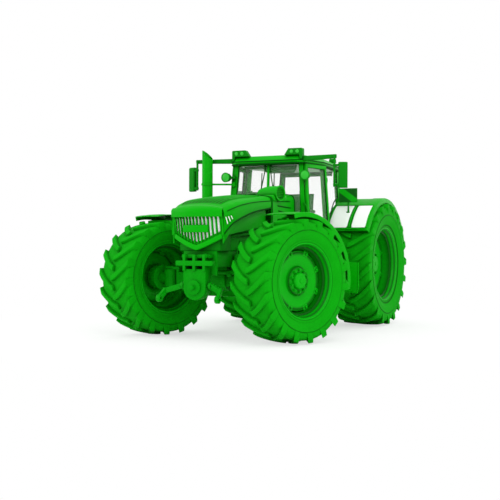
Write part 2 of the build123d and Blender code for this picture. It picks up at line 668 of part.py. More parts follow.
def hinge_eyes():
    """The door's halves: an eye on each pin, joined to the door's edge."""
    eyes = []
    for z in HINGE_HEIGHTS:
        eye = octagon((0, 0, -30), (0, 0, 30), 15) + Pos(20, 0, 0) * Box(26, 14, 60)
        eyes.append(hinge_plane(z) * (eye - rod((0, 0, -40), (0, 0, 40), HINGE_PIN + RUNNING_GAP, 12, True)))
    return eyes


def door_opening():
    return flat_panel(door_corners(52, DOOR_WALL + SEAM + 15), DOOR_WALL + 30)


def door_left():
    """Door frame that laps over both pillars."""
    return fused(flat_panel(door_corners(0, DOOR_WALL + SEAM), DOOR_WALL), *hinge_eyes()) - door_opening()


def door_glass_left():
    return flat_panel(door_corners(0, DOOR_WALL + SEAM - 14), GLASS) & door_opening()


def rear_side_panel():
    """Closes the cab beside the rear wheels, from the platform to the fender's inner web."""
    b, c = REAR_X + CAB_DOOR_REAR - PILLAR - 14, REAR_X + CAB_REAR - PILLAR - 30
    top = [(x, fender_z(x, -40)) for x in (b - 110, b - 300, b - 520, b - 760)]
    outline = [(b - 110, SILL_Z), *top, (c, top[-1][1]), (c, SILL_Z)]
    return both(prism_y(outline, FENDER_IN_Y - 36, FENDER_IN_Y))


def rear_fender(side):
    """Rolled sheet over the tyre with an inner web and an outer lip."""
    r0 = REAR_WHEEL["tip"] + FENDER_GAP
    r1 = r0 + FENDER_WALL
    y0, y1 = FENDER_IN_Y, FENDER_OUT_Y
    outline = [(y0, r0 - 130), (y0 + 12, r0 - 130), (y0 + 12, r0), (y1 - 14, r0), (y1 - 14, r0 - 60), (y1, r0 - 60), (y1, r1), (y0, r1)]
    return turned([(side * y, r) for y, r in outline], (REAR_X, 0, REAR_Z), FENDER_SIDES, FENDER_SWEEP, FENDER_AHEAD)


BOARD_AHEAD, BOARD_IN = 700, 250  # its face ahead of the rear axle, its outer edge in from the fender's
BOARD_WIDE, BOARD_HIGH = 306, 220


def marker_boards():
    """Width boards on stalks on the fenders."""
    x = REAR_X + BOARD_AHEAD
    y, z = FENDER_OUT_Y - BOARD_IN, fender_z(x - 12)
    board = block((x - 12, x), (y - BOARD_WIDE, y), (z + 160, z + 160 + BOARD_HIGH))
    stalk = block((x - 42, x - 12), (y - BOARD_WIDE / 2 - 18, y - BOARD_WIDE / 2 + 18), (z - 1.5, z + 295))
    return both(board + stalk - rear_fender(1))


def cab_beams():
    """Two cross beams that carry the cab on the gearbox."""
    return Compound(children=[
        block((REAR_X + d, REAR_X + d + 90), (-560, 560), (1045, SILL_Z - CAB_FLOOR_WALL)) for d in (300, CAB_FRONT - 200)
    ])


def tank(side, y1):
    """Box under the cab between the wheels, hung on the gearbox's side."""
    x0, x1 = TANK_X
    chamfer = 60
    outline = [(245, 500), (y1 - chamfer, 500), (y1, 500 + chamfer), (y1, 1000), (y1 - 30, 1030), (245, 1030)]
    return prism_x([(side * y, z) for y, z in outline], x0, x1)


def steps():
    """Three treads between two cheeks outside the left tank."""
    x0, x1 = TANK_X[1] - 640, TANK_X[1] - 160
    y0 = TANK_LEFT_Y
    shape = None
    for x in (x0, x1 - 12):
        cheek = prism_x([(y0, 440), (y0 + 330, 440), (y0 + 330, 500), (y0 + 120, 1030), (y0, 1030)], x, x + 12)
        shape = cheek if shape is None else shape + cheek
    for z, depth in ((450, 325), (720, 235), (985, 130)):
        shape = shape + block((x0, x1), (y0, y0 + depth), (z - 20, z + 8))
    return shape


TANK_X = (REAR_X + CAB_DOOR_REAR + 10, FRONT_X - WHEEL_SWEEP)
TANK_LEFT_Y = 720
BOX_RIGHT_Y = 1010


def exhaust():
    """Upright stack on the right box, held to the front pillar, its mouth cut steeply on the slant."""
    x, y = TANK_X[1] - 50, 85 - BOX_RIGHT_Y
    low = rod((x, y, 1030), (x, y, 1850), 88, 16)
    pipe = rod((x, y, 1850), (x, y, STACK_TIP_Z), 82, 16)
    bore = rod((x, y, STACK_TIP_Z - 420), (x, y, STACK_TIP_Z), 74, 16)
    cut = Pos(x, y - 82, STACK_TIP_Z) * (Rot(-STACK_SLANT, 0, 0) * Pos(0, 0, 100) * Box(400, 600, 200))
    shape = fused(low, pipe) - bore - cut
    px, py, _ = post_point("a", 2200)
    arm = bar((x - 30, y + 50, 2200), (px + 22, -(py - 31), 2200), 30, 24)
    foot = block((px - 20, px + 30), (-(py - 12), -(py - 50)), (2180, 2220))
    return fused(shape, arm - bore, foot) - cab_pillars()


def air_intake():
    """Intake box on the left shoulder of the hood, with a round mouth facing outwards."""
    x0, x1 = FRONT_X - 1125, FRONT_X - 655
    body = prism_x([(250, 1980), (478, 1890), (500, 1930), (500, 2090), (470, 2118), (310, 2122), (270, 2100)], x0, x1)
    mouth = rod((x1 - 150, 500, 2012), (x1 - 150, 512, 2012), 66, 12)
    hood = ring_loft([bonnet_section(*r) for r in COWL_SECTIONS])
    return fused(body, mouth) - hood


def mirror_unit(side):
    """Mirror head turned towards the driver, held at top and bottom by a post on an arm from the roof's corner."""
    x, y = REAR_X + CAB_FRONT + 110, 1130
    low, high = MIRROR_Z
    post = rod((x, y, low + 15), (x, y, MIRROR_ARM_Z + 8), 17, 8)
    head = block((x - 30, x + 30), (y + 55, y + 190), (low, high))
    ties = [block((x - 18, x + 18), (y, y + 80), (z, z + 36)) for z in (low + 30, high - 66)]
    head = fused(post, head, *ties).rotate(Axis((x, y, 0), (0, 0, 1)), MIRROR_TURN)
    px, py, _ = post_point("a", HEAD_Z)
    arm = bar((x, y + 12, MIRROR_ARM_Z), (px + 30, py, MIRROR_ARM_Z), 30, 80)
    shape = fused(head, arm)
    return (shape if side > 0 else mirror(shape, Plane.XZ)) - cab_roof() - roof_lamps()


def roof_lamps():
    """Twin work lamp pods on the roof's front corners and single ones at the rear."""
    px, py, _ = post_point("a", HEAD_Z)
    top = LAMP_TOP_Z
    profile = [(py - 265, ROOF_TOP_Z - 4), (py - 200, top), (py + 14, top), (py + 26, top - 12), (py + 26, ROOF_TOP_Z - 70)]
    front = prism_x(profile, px - 20, px + 76)
    cx, cy, _ = post_point("c", HEAD_Z)
    rear = block((cx - 10, cx + 60), (cy - 130, cy - 10), (ROOF_TOP_Z - 4, ROOF_TOP_Z + 70))
    roof = cab_roof()
    seated = [(lamp - roof).solids()[0] for lamp in both(Compound(children=[front, rear])).solids()]
    return Compound(children=seated)


def pillar_lamps():
    """Round lamps beside the front pillars, just under the roof."""
    px, py, _ = post_point("a", PILLAR_LAMP_Z)
    lamp = rod((px + 50, py + 78, PILLAR_LAMP_Z), (px + 130, py + 78, PILLAR_LAMP_Z), 70, 12)
    arm = block((px - 10, px + 90), (py - 45, py + 30), (PILLAR_LAMP_Z - 20, PILLAR_LAMP_Z + 20))
    return both(fused(lamp, arm) - cab_pillars())


def seat():
    """Suspension base, cushion and back rest."""
    x, z = REAR_X + 800, RAISED_Z
    base = block((x - 200, x + 200), (-190, 190), (z, z + 150))
    pan = block((x - 250, x + 260), (-250, 250), (z + 150, z + 270))
    profile = [(-190, 270), (-290, 810), (-380, 790), (-290, 190), (-250, 190), (-250, 270)]
    back = prism_y([(x + dx, z + dz) for dx, dz in profile], -240, 240)
    return fused(base, pan, back)


def steering_column():
    """Column from the platform and the wheel's ring with three spokes."""
    x = REAR_X + CAB_FRONT - 180
    foot = prism_y([(x, SILL_Z), (x + 95, SILL_Z), (x + 60, 1870), (x - 10, 1850)], -80, 80)
    axis = Vector(-0.55, 0, 0.83).normalized()
    centre = Vector(x - 90, 0, 1985)
    plane = Plane(origin=centre, z_dir=axis, x_dir=(0, 1, 0))
    wheel = plane * (extrude(RegularPolygon(210, 16), amount=24) - extrude(RegularPolygon(182, 16), amount=24))
    hub = plane * extrude(RegularPolygon(40, 12), amount=-60)
    shape = wheel + hub
    for turn in (0, 120, 240):
        shape = shape + plane * (Rot(0, 0, turn) * (Pos(95, 0, 6) * Box(184, 24, 12)))
    post = rod(tuple(centre - axis * 170), tuple(centre - axis * 20), 32, 12)
    return fused(foot, post, shape)


def console():
    """Right-hand console beside the seat."""
    x = REAR_X + 800
    return prism_y([(x - 250, SILL_Z + 170), (x + 180, SILL_Z + 170), (x + 330, SILL_Z + 600), (x + 300, SILL_Z + 660), (x - 250, SILL_Z + 620)], -430, -275)


def front_hitch():
    """Front linkage housing with a rounded belly, and the cross shaft its links turn on."""
    x0 = FRONT_X + 595
    round_part = [(HITCH_HALF * sin(radians(a)), HITCH_Z - HITCH_HALF * cos(radians(a))) for a in range(-80, 81, 20)]
    belly = prism_x([(-HITCH_HALF, 960)] + round_part + [(HITCH_HALF, 960)], x0, x0 + 150)
    cover = rod((x0 + 150, 0, HITCH_Z), (x0 + 178, 0, HITCH_Z), 98, 12)
    stub = rod((x0 + 178, 0, HITCH_Z), (x0 + 228, 0, HITCH_Z), 30, 8)
    shaft = rod((FRONT_LINK[0], -250, FRONT_LINK[1]), (FRONT_LINK[0], 250, FRONT_LINK[1]), 24)
    webs = [block((x0, x0 + 172), (y - 18, y + 18), (940, 1150)) for y in (-147, 0, 147)]
    rail = block((x0 + 95, x0 + 172), (-270, 270), (1006, 1070))
    head = block((x0, x0 + 120), (-200, 200), (1104, 1150))
    couplers = [rod((x0 + 120, y, 1127), (x0 + 160, y, 1127), 34, 12) for y in (-150, 150)]
    return fused(belly, cover, stub, shaft, *webs, rail, head, *couplers)


HITCH_HALF = 165
HITCH_Z = 725  # centre of the rounded belly


FRONT_LINK = (FRONT_X + 680, 745)  # pivot of the front lower links
FRONT_BALL = (FRONT_X + FRONT_REACH - 45, 430, 585)


def link_pair(pivot, pivot_y, hole_r, ball, wide, high, bend=None):
    """Left and right lower link: eye, bar (with a bend) and open hook, mirrored."""
    px, pz = pivot
    eye = octagon((px, pivot_y - wide / 2, pz), (px, pivot_y + wide / 2, pz), 46)
    points = [(px, pivot_y, pz)] + ([bend] if bend else []) + [ball]
    shape = eye
    for a, b in zip(points, points[1:]):
        shape = shape + bar(a, b, wide, high)
    if bend:
        shape = shape + block((bend[0] - 22, bend[0] + 22), (bend[1] - 22, bend[1] + 22), (bend[2] - 36, bend[2] + 36))
    hook = octagon((ball[0], ball[1] - 26, ball[2]), (ball[0], ball[1] + 26, ball[2]), 45)
    shape = shape + hook
    shape = shape - Pos(*ball) * Cylinder(18.5, 80, rotation=(90, 0, 0))
    shape = shape - hole((px, pivot_y - 100, pz), (px, pivot_y + 100, pz), hole_r)
    return both(shape)


def front_links():
    return link_pair(FRONT_LINK, 205, 24, FRONT_BALL, 40, 70, (FRONT_X + 800, 405, 680))


REAR_LINK = (REAR_X - 280, 690)  # pivot of the rear lower links
REAR_BALL = (REAR_X - REAR_REACH + 45, 430, 600)
LIFT_ARM = (REAR_X - 170, 1195)  # pivot of the lift arms
LINK_SHARE = 0.5  # where the lift rod stands on the lower link


def rod_foot():
    (px, pz), (bx, by, bz) = REAR_LINK, REAR_BALL
    return (px + (bx - px) * LINK_SHARE, 285 + (by - 285) * LINK_SHARE, pz + (bz - pz) * LINK_SHARE)


def rear_links():
    """Lower links with the pins for the lift rods."""
    links = link_pair(REAR_LINK, 285, 24, REAR_BALL, 36, 80)
    x, y, z = rod_foot()
    pin = rod((x, y, z), (x, y + 62, z), 15)
    shapes = links.solids()
    return Compound(children=[shapes[0] + pin, shapes[1] + mirror(pin, Plane.XZ)]) if shapes[0].center().Y > 0 else \
        Compound(children=[shapes[0] + mirror(pin, Plane.XZ), shapes[1] + pin])


def rod_head():
    (px, pz), (ax, az) = REAR_LINK, LIFT_ARM
    x, y, z = rod_foot()
    return (x + ax - px, y, z + az - pz)


def lift_arms():
    """Rocker arms from the lift shaft, each with a pin for its rod."""
    x, y, z = rod_head()
    arm = bar((LIFT_ARM[0], y - 20, LIFT_ARM[1]), (x, y - 20, z), 30, 76)
    eye = octagon((LIFT_ARM[0], y - 50, LIFT_ARM[1]), (LIFT_ARM[0], y + 10, LIFT_ARM[1]), 62)
    end = octagon((x, y - 35, z), (x, y - 5, z), 36)
    pin = rod((x, y - 20, z), (x, y + 62, z), 15)
    shape = fused(arm, eye, end, pin) - hole((LIFT_ARM[0], y - 70, LIFT_ARM[1]), (LIFT_ARM[0], y + 30, LIFT_ARM[1]), 40, 24)
    return both(shape)


def lift_rods():
    """Rods between the lower links and the lift arms, an eye at each end."""
    (x0, y, z0), (x1, _, z1) = rod_foot(), rod_head()
    y = y + 45
    ends = [octagon((x, y - 13, z), (x, y + 13, z), 31) for x, z in ((x0, z0), (x1, z1))]
    shape = fused(octagon((x0, y, z0), (x1, y, z1), 12), *ends)
    for x, z in ((x0, z0), (x1, z1)):
        shape = shape - hole((x, y - 30, z), (x, y + 30, z), 15)
    return both(shape)


def lift_housing():
    """On the rear casting: lift shaft and its housing, the pins of the lower links and the top link's bracket."""
    ax, az = LIFT_ARM
    px, pz = REAR_LINK
    y = rod_head()[1]
    body = block((ax - 75, ax + 80), (-235, 235), (1130, az + 75))
    shaft = rod((ax, -(y + 20), az), (ax, y + 20, az), 40, 24)
    bracket = block((REAR_X - 400, REAR_X - 330), (-60, 60), (830, 1060))
    pins = rod((px, -312, pz), (px, 312, pz), 24)
    return fused(body, shaft, bracket, pins)


def drawbar():
    """Drawbar under the rear casting with its pin hole."""
    x1 = REAR_X - 760
    shape = block((x1, REAR_X + 150), (-60, 60), (560, 600)) + Pos(x1, 0, 580) * Cylinder(60, 40)
    hanger = block((REAR_X - 320, REAR_X - 220), (-110, 110), (600, 640))
    return fused(shape, hanger) - Pos(x1, 0, 580) * Cylinder(16.5, 60) - transmission()


def pto_shaft():
    """Stub shaft that drives implements."""
    return Pos(REAR_X - 380, 0, 730) * Cylinder(17.5, 100, rotation=(0, 90, 0))


def nose_plate():
    """Plate across the front of the frame, with two coupler plugs."""
    x0 = FRONT_X + 560
    plate = block((x0, x0 + 35), (-FRAME_OUT_Y, FRAME_OUT_Y), (880, FRAME_HIGH_Z))
    return plate


def together(*shapes):
    """Several pieces that don't touch, as one node."""
    return Compound(children=[solid for shape in shapes for solid in shape.solids()])


for name, shape in {
    "front_axle_beam": front_axle(),
    "knuckle_left": steer(knuckle(1), 1),
    "knuckle_right": steer(knuckle(-1), -1),
    "mudguard_left": steer(mudguard(1), 1),
    "mudguard_right": steer(mudguard(-1), -1),
    "tie_rod": tie_rod(),
    "front_frame": front_frame() + nose_plate(),
    "engine_block": engine_block(),
    "radiator": radiator(),
    "transmission_housing": fused(transmission(), lift_housing(), *cab_beams().solids()),
    "rear_axle": rear_axle(),
    "bonnet_shell": bonnet_shell(),
    "grille": fused(grille(), brow_panel()),
    "hood_cowl": cowl(),
    "side_shields": side_shields(),
    "cab_floor": cab_floor() - cab_pillars() - rear_side_panel(),
    "cab_pillars": cab_pillars(),
    "cab_roof": cab_roof(),
    "cab_walls": together(firewall(), rear_wall(), rear_side_panel() - cab_pillars()),
    "cab_glass": together(windscreen(), rear_window(), quarter_glass()) - cab_pillars(),
    "door_left": door_left(),
    "door_glass_left": door_glass_left(),
    "door_right": mirror(door_left(), Plane.XZ),
    "door_glass_right": mirror(door_glass_left(), Plane.XZ),
    "rear_fenders": together(rear_fender(1), rear_fender(-1)),
    "marker_boards": marker_boards(),
    "fuel_tank": tank(1, TANK_LEFT_Y),
    "battery_box": tank(-1, BOX_RIGHT_Y),
    "steps": steps(),
    "exhaust": exhaust(),
    "air_intake": air_intake(),
    "mirrors": together(mirror_unit(1), mirror_unit(-1)),
    "work_lamps": together(roof_lamps(), pillar_lamps()),
    "seat": seat(),
    "cab_controls": together(steering_column(), console()),
    "front_hitch": front_hitch(),
    "front_links": front_links(),
    "rear_links": rear_links(),
    "lift_arms": lift_arms(),
    "lift_rods": lift_rods(),
    "drawbar": drawbar(),
    "pto_shaft": pto_shaft(),
}.items():
    keep(name, shape)

os.makedirs("parts", exist_ok=True)
for name, shape in PARTS.items():
    solids = shape.solids()
    export_step(solids[0] if len(solids) == 1 else Compound(children=list(solids)), f"parts/{name}.step")
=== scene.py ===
"""Farm tractor: finishes and detailed pieces round its packed frame, an add-on in layout, run as a script."""

import json
from math import atan2, cos, hypot, pi, radians, sin

import bmesh
import bpy
from bpy.props import FloatProperty, FloatVectorProperty, IntProperty, PointerProperty
from bpy.types import Operator, Panel, PropertyGroup
from mathutils import Matrix, Vector


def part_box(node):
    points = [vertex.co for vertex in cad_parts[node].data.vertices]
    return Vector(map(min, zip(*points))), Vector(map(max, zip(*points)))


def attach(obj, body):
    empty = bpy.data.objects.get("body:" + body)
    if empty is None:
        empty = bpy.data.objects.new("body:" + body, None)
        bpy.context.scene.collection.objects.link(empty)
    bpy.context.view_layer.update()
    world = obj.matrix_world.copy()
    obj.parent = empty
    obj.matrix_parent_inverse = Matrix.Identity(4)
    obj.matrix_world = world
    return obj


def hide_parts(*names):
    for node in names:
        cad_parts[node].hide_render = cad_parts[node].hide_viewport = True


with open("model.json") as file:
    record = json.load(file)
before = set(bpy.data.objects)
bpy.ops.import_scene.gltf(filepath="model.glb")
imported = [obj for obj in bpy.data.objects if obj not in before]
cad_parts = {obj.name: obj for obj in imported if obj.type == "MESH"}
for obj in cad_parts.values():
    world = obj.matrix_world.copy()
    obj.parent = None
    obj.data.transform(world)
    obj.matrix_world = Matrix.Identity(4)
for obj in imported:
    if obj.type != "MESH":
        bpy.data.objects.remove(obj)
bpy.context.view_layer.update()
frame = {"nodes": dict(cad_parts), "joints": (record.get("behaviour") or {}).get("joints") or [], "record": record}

bl_info = {
    "name": "Farm Tractor Dressing",
    "version": (1, 0, 0),
    "blender": (4, 5, 0),
    "location": "3D View > Sidebar > Tractor",
    "description": "Dresses the packed farm tractor with tyres, sheet metal, glass and fittings",
    "category": "Object",
}

JOINTS = {j["name"]: j for j in frame["joints"]}


def linear(code):
    """A hex sRGB colour as the linear numbers that shaders take."""
    parts = [int(code[i:i + 2], 16) / 255 for i in (0, 2, 4)]
    return tuple(c / 12.92 if c <= 0.04045 else ((c + 0.055) / 1.055) ** 2.4 for c in parts) + (1.0,)


def colour_prop(name, code, description):
    """A colour setting of the panel, from its hex code."""
    return FloatVectorProperty(name=name, description=description, subtype="COLOR", size=4, min=0, max=1,
            default=linear(code))


# ---------------------------------------------------------------- what a user would change
class TractorColours(PropertyGroup):
    enamel: colour_prop("Body enamel", "00A202", "Sheet metal of bonnet, cab, fenders and mudguards")
    casting: colour_prop("Casting enamel", "008F06", "Cast axles, gearbox, hubs and linkage")
    rim: colour_prop("Rim enamel", "02A80A", "Pressed wheel rims and discs")
    rubber: colour_prop("Tyre rubber", "069A08", "Carcass and tread bars of the tyres")
    plastic: colour_prop("Moulded plastic", "057F0A", "Trim, mirrors, grille and lamp housings")
    fabric: colour_prop("Seat fabric", "0A8A14", "Woven cover of the driver's seat")
    lens: colour_prop("Lamp lens", "2FB832", "Clear covers of the lamps")
    floor: colour_prop("Floor", "F4F6F4", "Pale studio floor")


class TractorSizes(PropertyGroup):
    edge: FloatProperty(name="Pressed edge", description="Radius on bent sheet metal", default=0.006,
            min=0.001, max=0.02, unit="LENGTH")
    cast_edge: FloatProperty(name="Cast edge", description="Radius on cast corners", default=0.010,
            min=0.002, max=0.03, unit="LENGTH")
    bar_round: FloatProperty(name="Tread bar round", description="Radius on the tread bars' edges",
            default=0.007, min=0.001, max=0.02, unit="LENGTH")
    front_bars: IntProperty(name="Front tread bars", description="Bars on each half of a front tyre",
            default=18, min=12, max=26)
    rear_bars: IntProperty(name="Rear tread bars", description="Bars on each half of a rear tyre",
            default=20, min=12, max=28)
    slats: IntProperty(name="Grille slats", description="Upright slats in the nose", default=14, min=6,
            max=24)


# ---------------------------------------------------------------- small tools
def choose(*objects):
    """Leaves only these objects selected, the first of them active, out of edit mode."""
    if bpy.context.object and bpy.context.object.mode != "OBJECT":
        bpy.ops.object.mode_set(mode="OBJECT")
    bpy.ops.object.select_all(action="DESELECT")
    for piece in objects:
        piece.select_set(True)
    if objects:
        bpy.context.view_layer.objects.active = objects[0]


def open_edit(piece, action="SELECT"):
    """Opens a piece for editing with everything selected, or nothing."""
    choose(piece)
    bpy.ops.object.mode_set(mode="EDIT")
    bpy.ops.mesh.select_all(action=action)


def close_edit():
    """Leaves edit mode."""
    bpy.ops.object.mode_set(mode="OBJECT")


def named(name):
    """Names the object just made, and its mesh."""
    piece = bpy.context.object
    piece.name = piece.data.name = name
    return piece


def settle(piece):
    """Puts a piece's place, turn and size into its mesh."""
    choose(piece)
    bpy.ops.object.transform_apply(location=True, rotation=True, scale=True)
    return piece


def apply_modifier(piece, kind, **settings):
    """Adds a modifier with its settings and applies it at once."""
    choose(piece)
    bpy.ops.object.modifier_add(type=kind)
    modifier = piece.modifiers[-1]
    for key, value in settings.items():
        setattr(modifier, key, value)
    bpy.ops.object.modifier_apply(modifier=modifier.name)
    return piece


def round_edges(piece, width, steps=2, angle=30):
    """Rounds the edges that are sharper than an angle."""
    if width:
        apply_modifier(piece, "BEVEL", width=width, segments=steps, limit_method="ANGLE",
                angle_limit=radians(angle), use_clamp_overlap=True, harden_normals=False)
    return piece


def face_outwards(piece, merge=0.0002):
    """Merges doubled corners and turns every face outwards."""
    open_edit(piece)
    bpy.ops.mesh.remove_doubles(threshold=merge)
    bpy.ops.mesh.normals_make_consistent(inside=False)
    close_edit()
    return piece


def block(name, low, high, edge=0.0, steps=2):
    """A block between two corners with rounded edges."""
    choose()
    low, high = Vector(low), Vector(high)
    bpy.ops.mesh.primitive_cube_add(size=1, location=(low + high) / 2, scale=high - low)
    return round_edges(settle(named(name)), edge, steps)


def round_bar(name, start, end, radius, sides=32, edge=0.0, tip=None):
    """A round bar between two points, tapered where a tip radius is given."""
    choose()
    start, end = Vector(start), Vector(end)
    along = end - start
    bpy.ops.mesh.primitive_cone_add(vertices=sides, radius1=radius, radius2=radius if tip is None else tip,
            depth=along.length, location=(start + end) / 2, rotation=along.to_track_quat("Z",
            "Y").to_euler())
    return round_edges(settle(named(name)), edge, 2, 40)


def plate(name, outline, draw, edge=0.0, steps=2):
    """A flat piece: corners set on its outline, then drawn out along one direction."""
    choose()
    bpy.ops.mesh.primitive_circle_add(vertices=len(outline), fill_type="NGON")
    piece = named(name)
    for vertex, place in zip(piece.data.vertices, outline):
        vertex.co = place
    open_edit(piece)
    bpy.ops.mesh.extrude_region_move(TRANSFORM_OT_translate={"value": draw})
    close_edit()
    return round_edges(face_outwards(piece), edge, steps)


def turned(name, profile, centre, axis, steps=64, closed=True):
    """A turned piece: an outline of (along, radius) points spun once round the axis through the centre."""
    choose()
    bpy.ops.mesh.primitive_circle_add(vertices=len(profile), fill_type="NOTHING")
    piece = named(name)
    axis, centre = Vector(axis).normalized(), Vector(centre)
    out = axis.orthogonal().normalized() if abs(axis.z) > 0.9 else axis.cross(Vector((0, 0,
            1))).cross(axis).normalized()
    for vertex, (along, radius) in zip(piece.data.vertices, profile):
        vertex.co = centre + axis * along + out * radius
    open_edit(piece)
    if not closed:
        last = len(profile) - 1
        edit = bmesh.from_edit_mesh(piece.data)
        bpy.ops.mesh.select_all(action="DESELECT")
        for edge in edit.edges:
            edge.select = {v.index for v in edge.verts} == {0, last}
        bmesh.update_edit_mesh(piece.data)
        bpy.ops.mesh.delete(type="EDGE")
        bpy.ops.mesh.select_all(action="SELECT")
    bpy.ops.mesh.spin(steps=steps, angle=2 * pi, center=centre, axis=axis)
    bpy.ops.mesh.select_all(action="SELECT")
    bpy.ops.mesh.remove_doubles(threshold=0.0002)
    bpy.ops.mesh.dissolve_degenerate(threshold=0.0001)
    bpy.ops.mesh.select_all(action="SELECT")
    bpy.ops.mesh.normals_make_consistent(inside=False)
    close_edit()
    return piece


def pipe(name, points, radius, bend=False, sides=4):
    """A round bar or hose through points, straight between them or smoothly bent."""
    choose()
    bpy.ops.curve.primitive_nurbs_path_add(enter_editmode=False)
    piece = bpy.context.object
    data = piece.data
    data.splines.clear()
    spline = data.splines.new("NURBS" if bend else "POLY")
    spline.points.add(len(points) - 1)
    for point, place in zip(spline.points, points):
        point.co = (*place, 1)
    if bend:
        spline.order_u = min(4, len(points))
        spline.use_endpoint_u = True
        spline.resolution_u = 8
    data.dimensions = "3D"
    data.bevel_depth, data.bevel_resolution, data.use_fill_caps = radius, sides, True
    piece.location = (0, 0, 0)
    choose(piece)
    bpy.ops.object.convert(target="MESH")
    piece = named(name)
    return face_outwards(settle(piece))


def skin(name, rows, columns, place, closed=False):
    """A grid whose corners are set on a surface: place(u, v) with both from 0 to 1."""
    choose()
    bpy.ops.mesh.primitive_grid_add(x_subdivisions=rows, y_subdivisions=columns, size=1)
    piece = named(name)
    for vertex in piece.data.vertices:
        vertex.co = place(vertex.co.x + 0.5, vertex.co.y + 0.5)
    return face_outwards(piece) if closed else piece


def joined(name, *pieces):
    """Several pieces as one mesh."""
    pieces = [piece for piece in pieces if piece is not None]
    choose(*pieces)
    if len(pieces) > 1:
        bpy.ops.object.join()
    return named(name)


def copied(piece, matrix=None, name=None):
    """A copy of a piece with its own mesh, moved by a matrix."""
    other = piece.copy()
    other.data = piece.data.copy()
    bpy.context.collection.objects.link(other)
    if name:
        other.name = other.data.name = name
    if matrix is not None:
        other.data.transform(matrix)
        if matrix.determinant() < 0:
            open_edit(other)
            bpy.ops.mesh.flip_normals()
            close_edit()
    return other


FLIP = Matrix.Scale(-1, 4, (0, 1, 0))


def other_side(piece, name=None):
    """The same piece on the right of the tractor."""
    return copied(piece, FLIP, name)


def both_sides(piece, name=None):
    """A piece of the left and its twin on the right, as one mesh."""
    return joined(name or piece.name, piece, other_side(piece))


def softened(node, edge, name=None, steps=2, angle=25):
    """A copy of a frame node with its triangles merged into panels and its corners rounded."""
    source = frame["nodes"][node]
    piece = source.copy()
    piece.data = source.data.copy()
    piece.animation_data_clear()
    for key in [k for k in piece.keys() if k.startswith("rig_")]:
        del piece[key]
    piece.parent = None
    bpy.context.collection.objects.link(piece)
    piece.name = piece.data.name = name or node + "_rounded"
    piece.data.materials.clear()
    open_edit(piece)
    bpy.ops.mesh.remove_doubles(threshold=0.0001)
    bpy.ops.mesh.dissolve_limited(angle_limit=radians(2))
    close_edit()
    if piece.data.has_custom_normals:
        choose(piece)
        bpy.ops.mesh.customdata_custom_splitnormals_clear()
    return round_edges(piece, edge, steps, angle)


def fitted(piece, body, material, replaces=(), smooth=35):
    """Finishes a piece: shading, material, the body it rides on and what it stands for."""
    choose(piece)
    bpy.ops.object.shade_smooth_by_angle(angle=radians(smooth))
    piece.data.materials.clear()
    piece.data.materials.append(material)
    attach(piece, body)
    if replaces:
        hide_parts(*replaces)
    return piece


# ---------------------------------------------------------------- materials
def add_node(tree, kind, links=None, **settings):
    """Adds one shader node; links gives what each of its inputs takes, a socket or a value."""
    node = tree.nodes.new(kind)
    for key, value in settings.items():
        setattr(node, key, value)
    for key, source in (links or {}).items():
        if isinstance(source, bpy.types.NodeSocket):
            tree.links.new(source, node.inputs[key])
        else:
            node.inputs[key].default_value = source
    return node


def new_material(name):
    """A material with one principled shader, its node tree and the shader."""
    material = bpy.data.materials.new(name)
    material.use_nodes = True
    tree = material.node_tree
    tree.nodes.clear()
    shader = add_node(tree, "ShaderNodeBsdfPrincipled")
    add_node(tree, "ShaderNodeOutputMaterial", {"Surface": shader.outputs["BSDF"]})
    return material, tree, shader


def shades(tree, colour, low, high, factor):
    """Mixes two shades of one colour by a factor."""
    ramp = add_node(tree, "ShaderNodeMix", {"Factor": factor}, data_type="RGBA")
    ramp.inputs["A"].default_value = tuple(c * low for c in colour[:3]) + (1,)
    ramp.inputs["B"].default_value = tuple(min(1, c * high) for c in colour[:3]) + (1,)
    return ramp.outputs["Result"]


def grain(tree, size, detail=2.0, stretch=(1, 1, 1)):
    """Noise whose grains are about size metres across."""
    where = add_node(tree, "ShaderNodeTexCoord")
    turn = add_node(tree, "ShaderNodeMapping", {"Vector": where.outputs["Object"], "Scale": stretch})
    return add_node(tree, "ShaderNodeTexNoise", {"Vector": turn.outputs["Vector"], "Scale": 1 / size,
            "Detail": detail})


def bumped(tree, shader, height, depth, strength=1.0):
    """Gives a shader relief from a height, depth metres deep."""
    bump = add_node(tree, "ShaderNodeBump", {"Height": height, "Distance": depth, "Strength": strength})
    tree.links.new(bump.outputs["Normal"], shader.inputs["Normal"])


def painted(name, colour, gloss, coat, peel, peel_depth, tone=0.07, crease_shade=0.68):
    """Paint over metal: slow change of tone, dirt gathered in the creases, fine relief and uneven gloss."""
    material, tree, shader = new_material(name)
    slow, fine = grain(tree, 0.35, 3.0), grain(tree, peel, 3.0)
    clean = shades(tree, colour, 1 - tone, 1 + tone, slow.outputs["Fac"])
    # painted shade: ambient occlusion mixes a darker copy of the colour into creases and corners
    crease = add_node(tree, "ShaderNodeAmbientOcclusion", {"Distance": CREASE_REACH}, samples=8)
    share = add_node(tree, "ShaderNodeMapRange", {"Value": crease.outputs["AO"], "From Min": 0.25,
            "From Max": 0.92, "To Min": crease_shade, "To Max": 0.0})
    crease_shaded = add_node(tree, "ShaderNodeMix", {"Factor": share.outputs["Result"], "A": clean}, data_type="RGBA")
    crease_shaded.inputs["B"].default_value = tuple(c * 0.16 for c in colour[:3]) + (1,)
    tree.links.new(crease_shaded.outputs["Result"], shader.inputs["Base Color"])
    wear = add_node(tree, "ShaderNodeMapRange", {"Value": fine.outputs["Fac"], "To Min": gloss - 0.05,
            "To Max": gloss + 0.07})
    tree.links.new(wear.outputs["Result"], shader.inputs["Roughness"])
    shader.inputs["Coat Weight"].default_value = coat
    shader.inputs["Coat Roughness"].default_value = 0.25
    shader.inputs["Specular IOR Level"].default_value = 0.06
    bumped(tree, shader, fine.outputs["Fac"], peel_depth, 0.5)
    return material


CREASE_REACH = 0.11  # metres from a corner within which painted shade darkens the paint
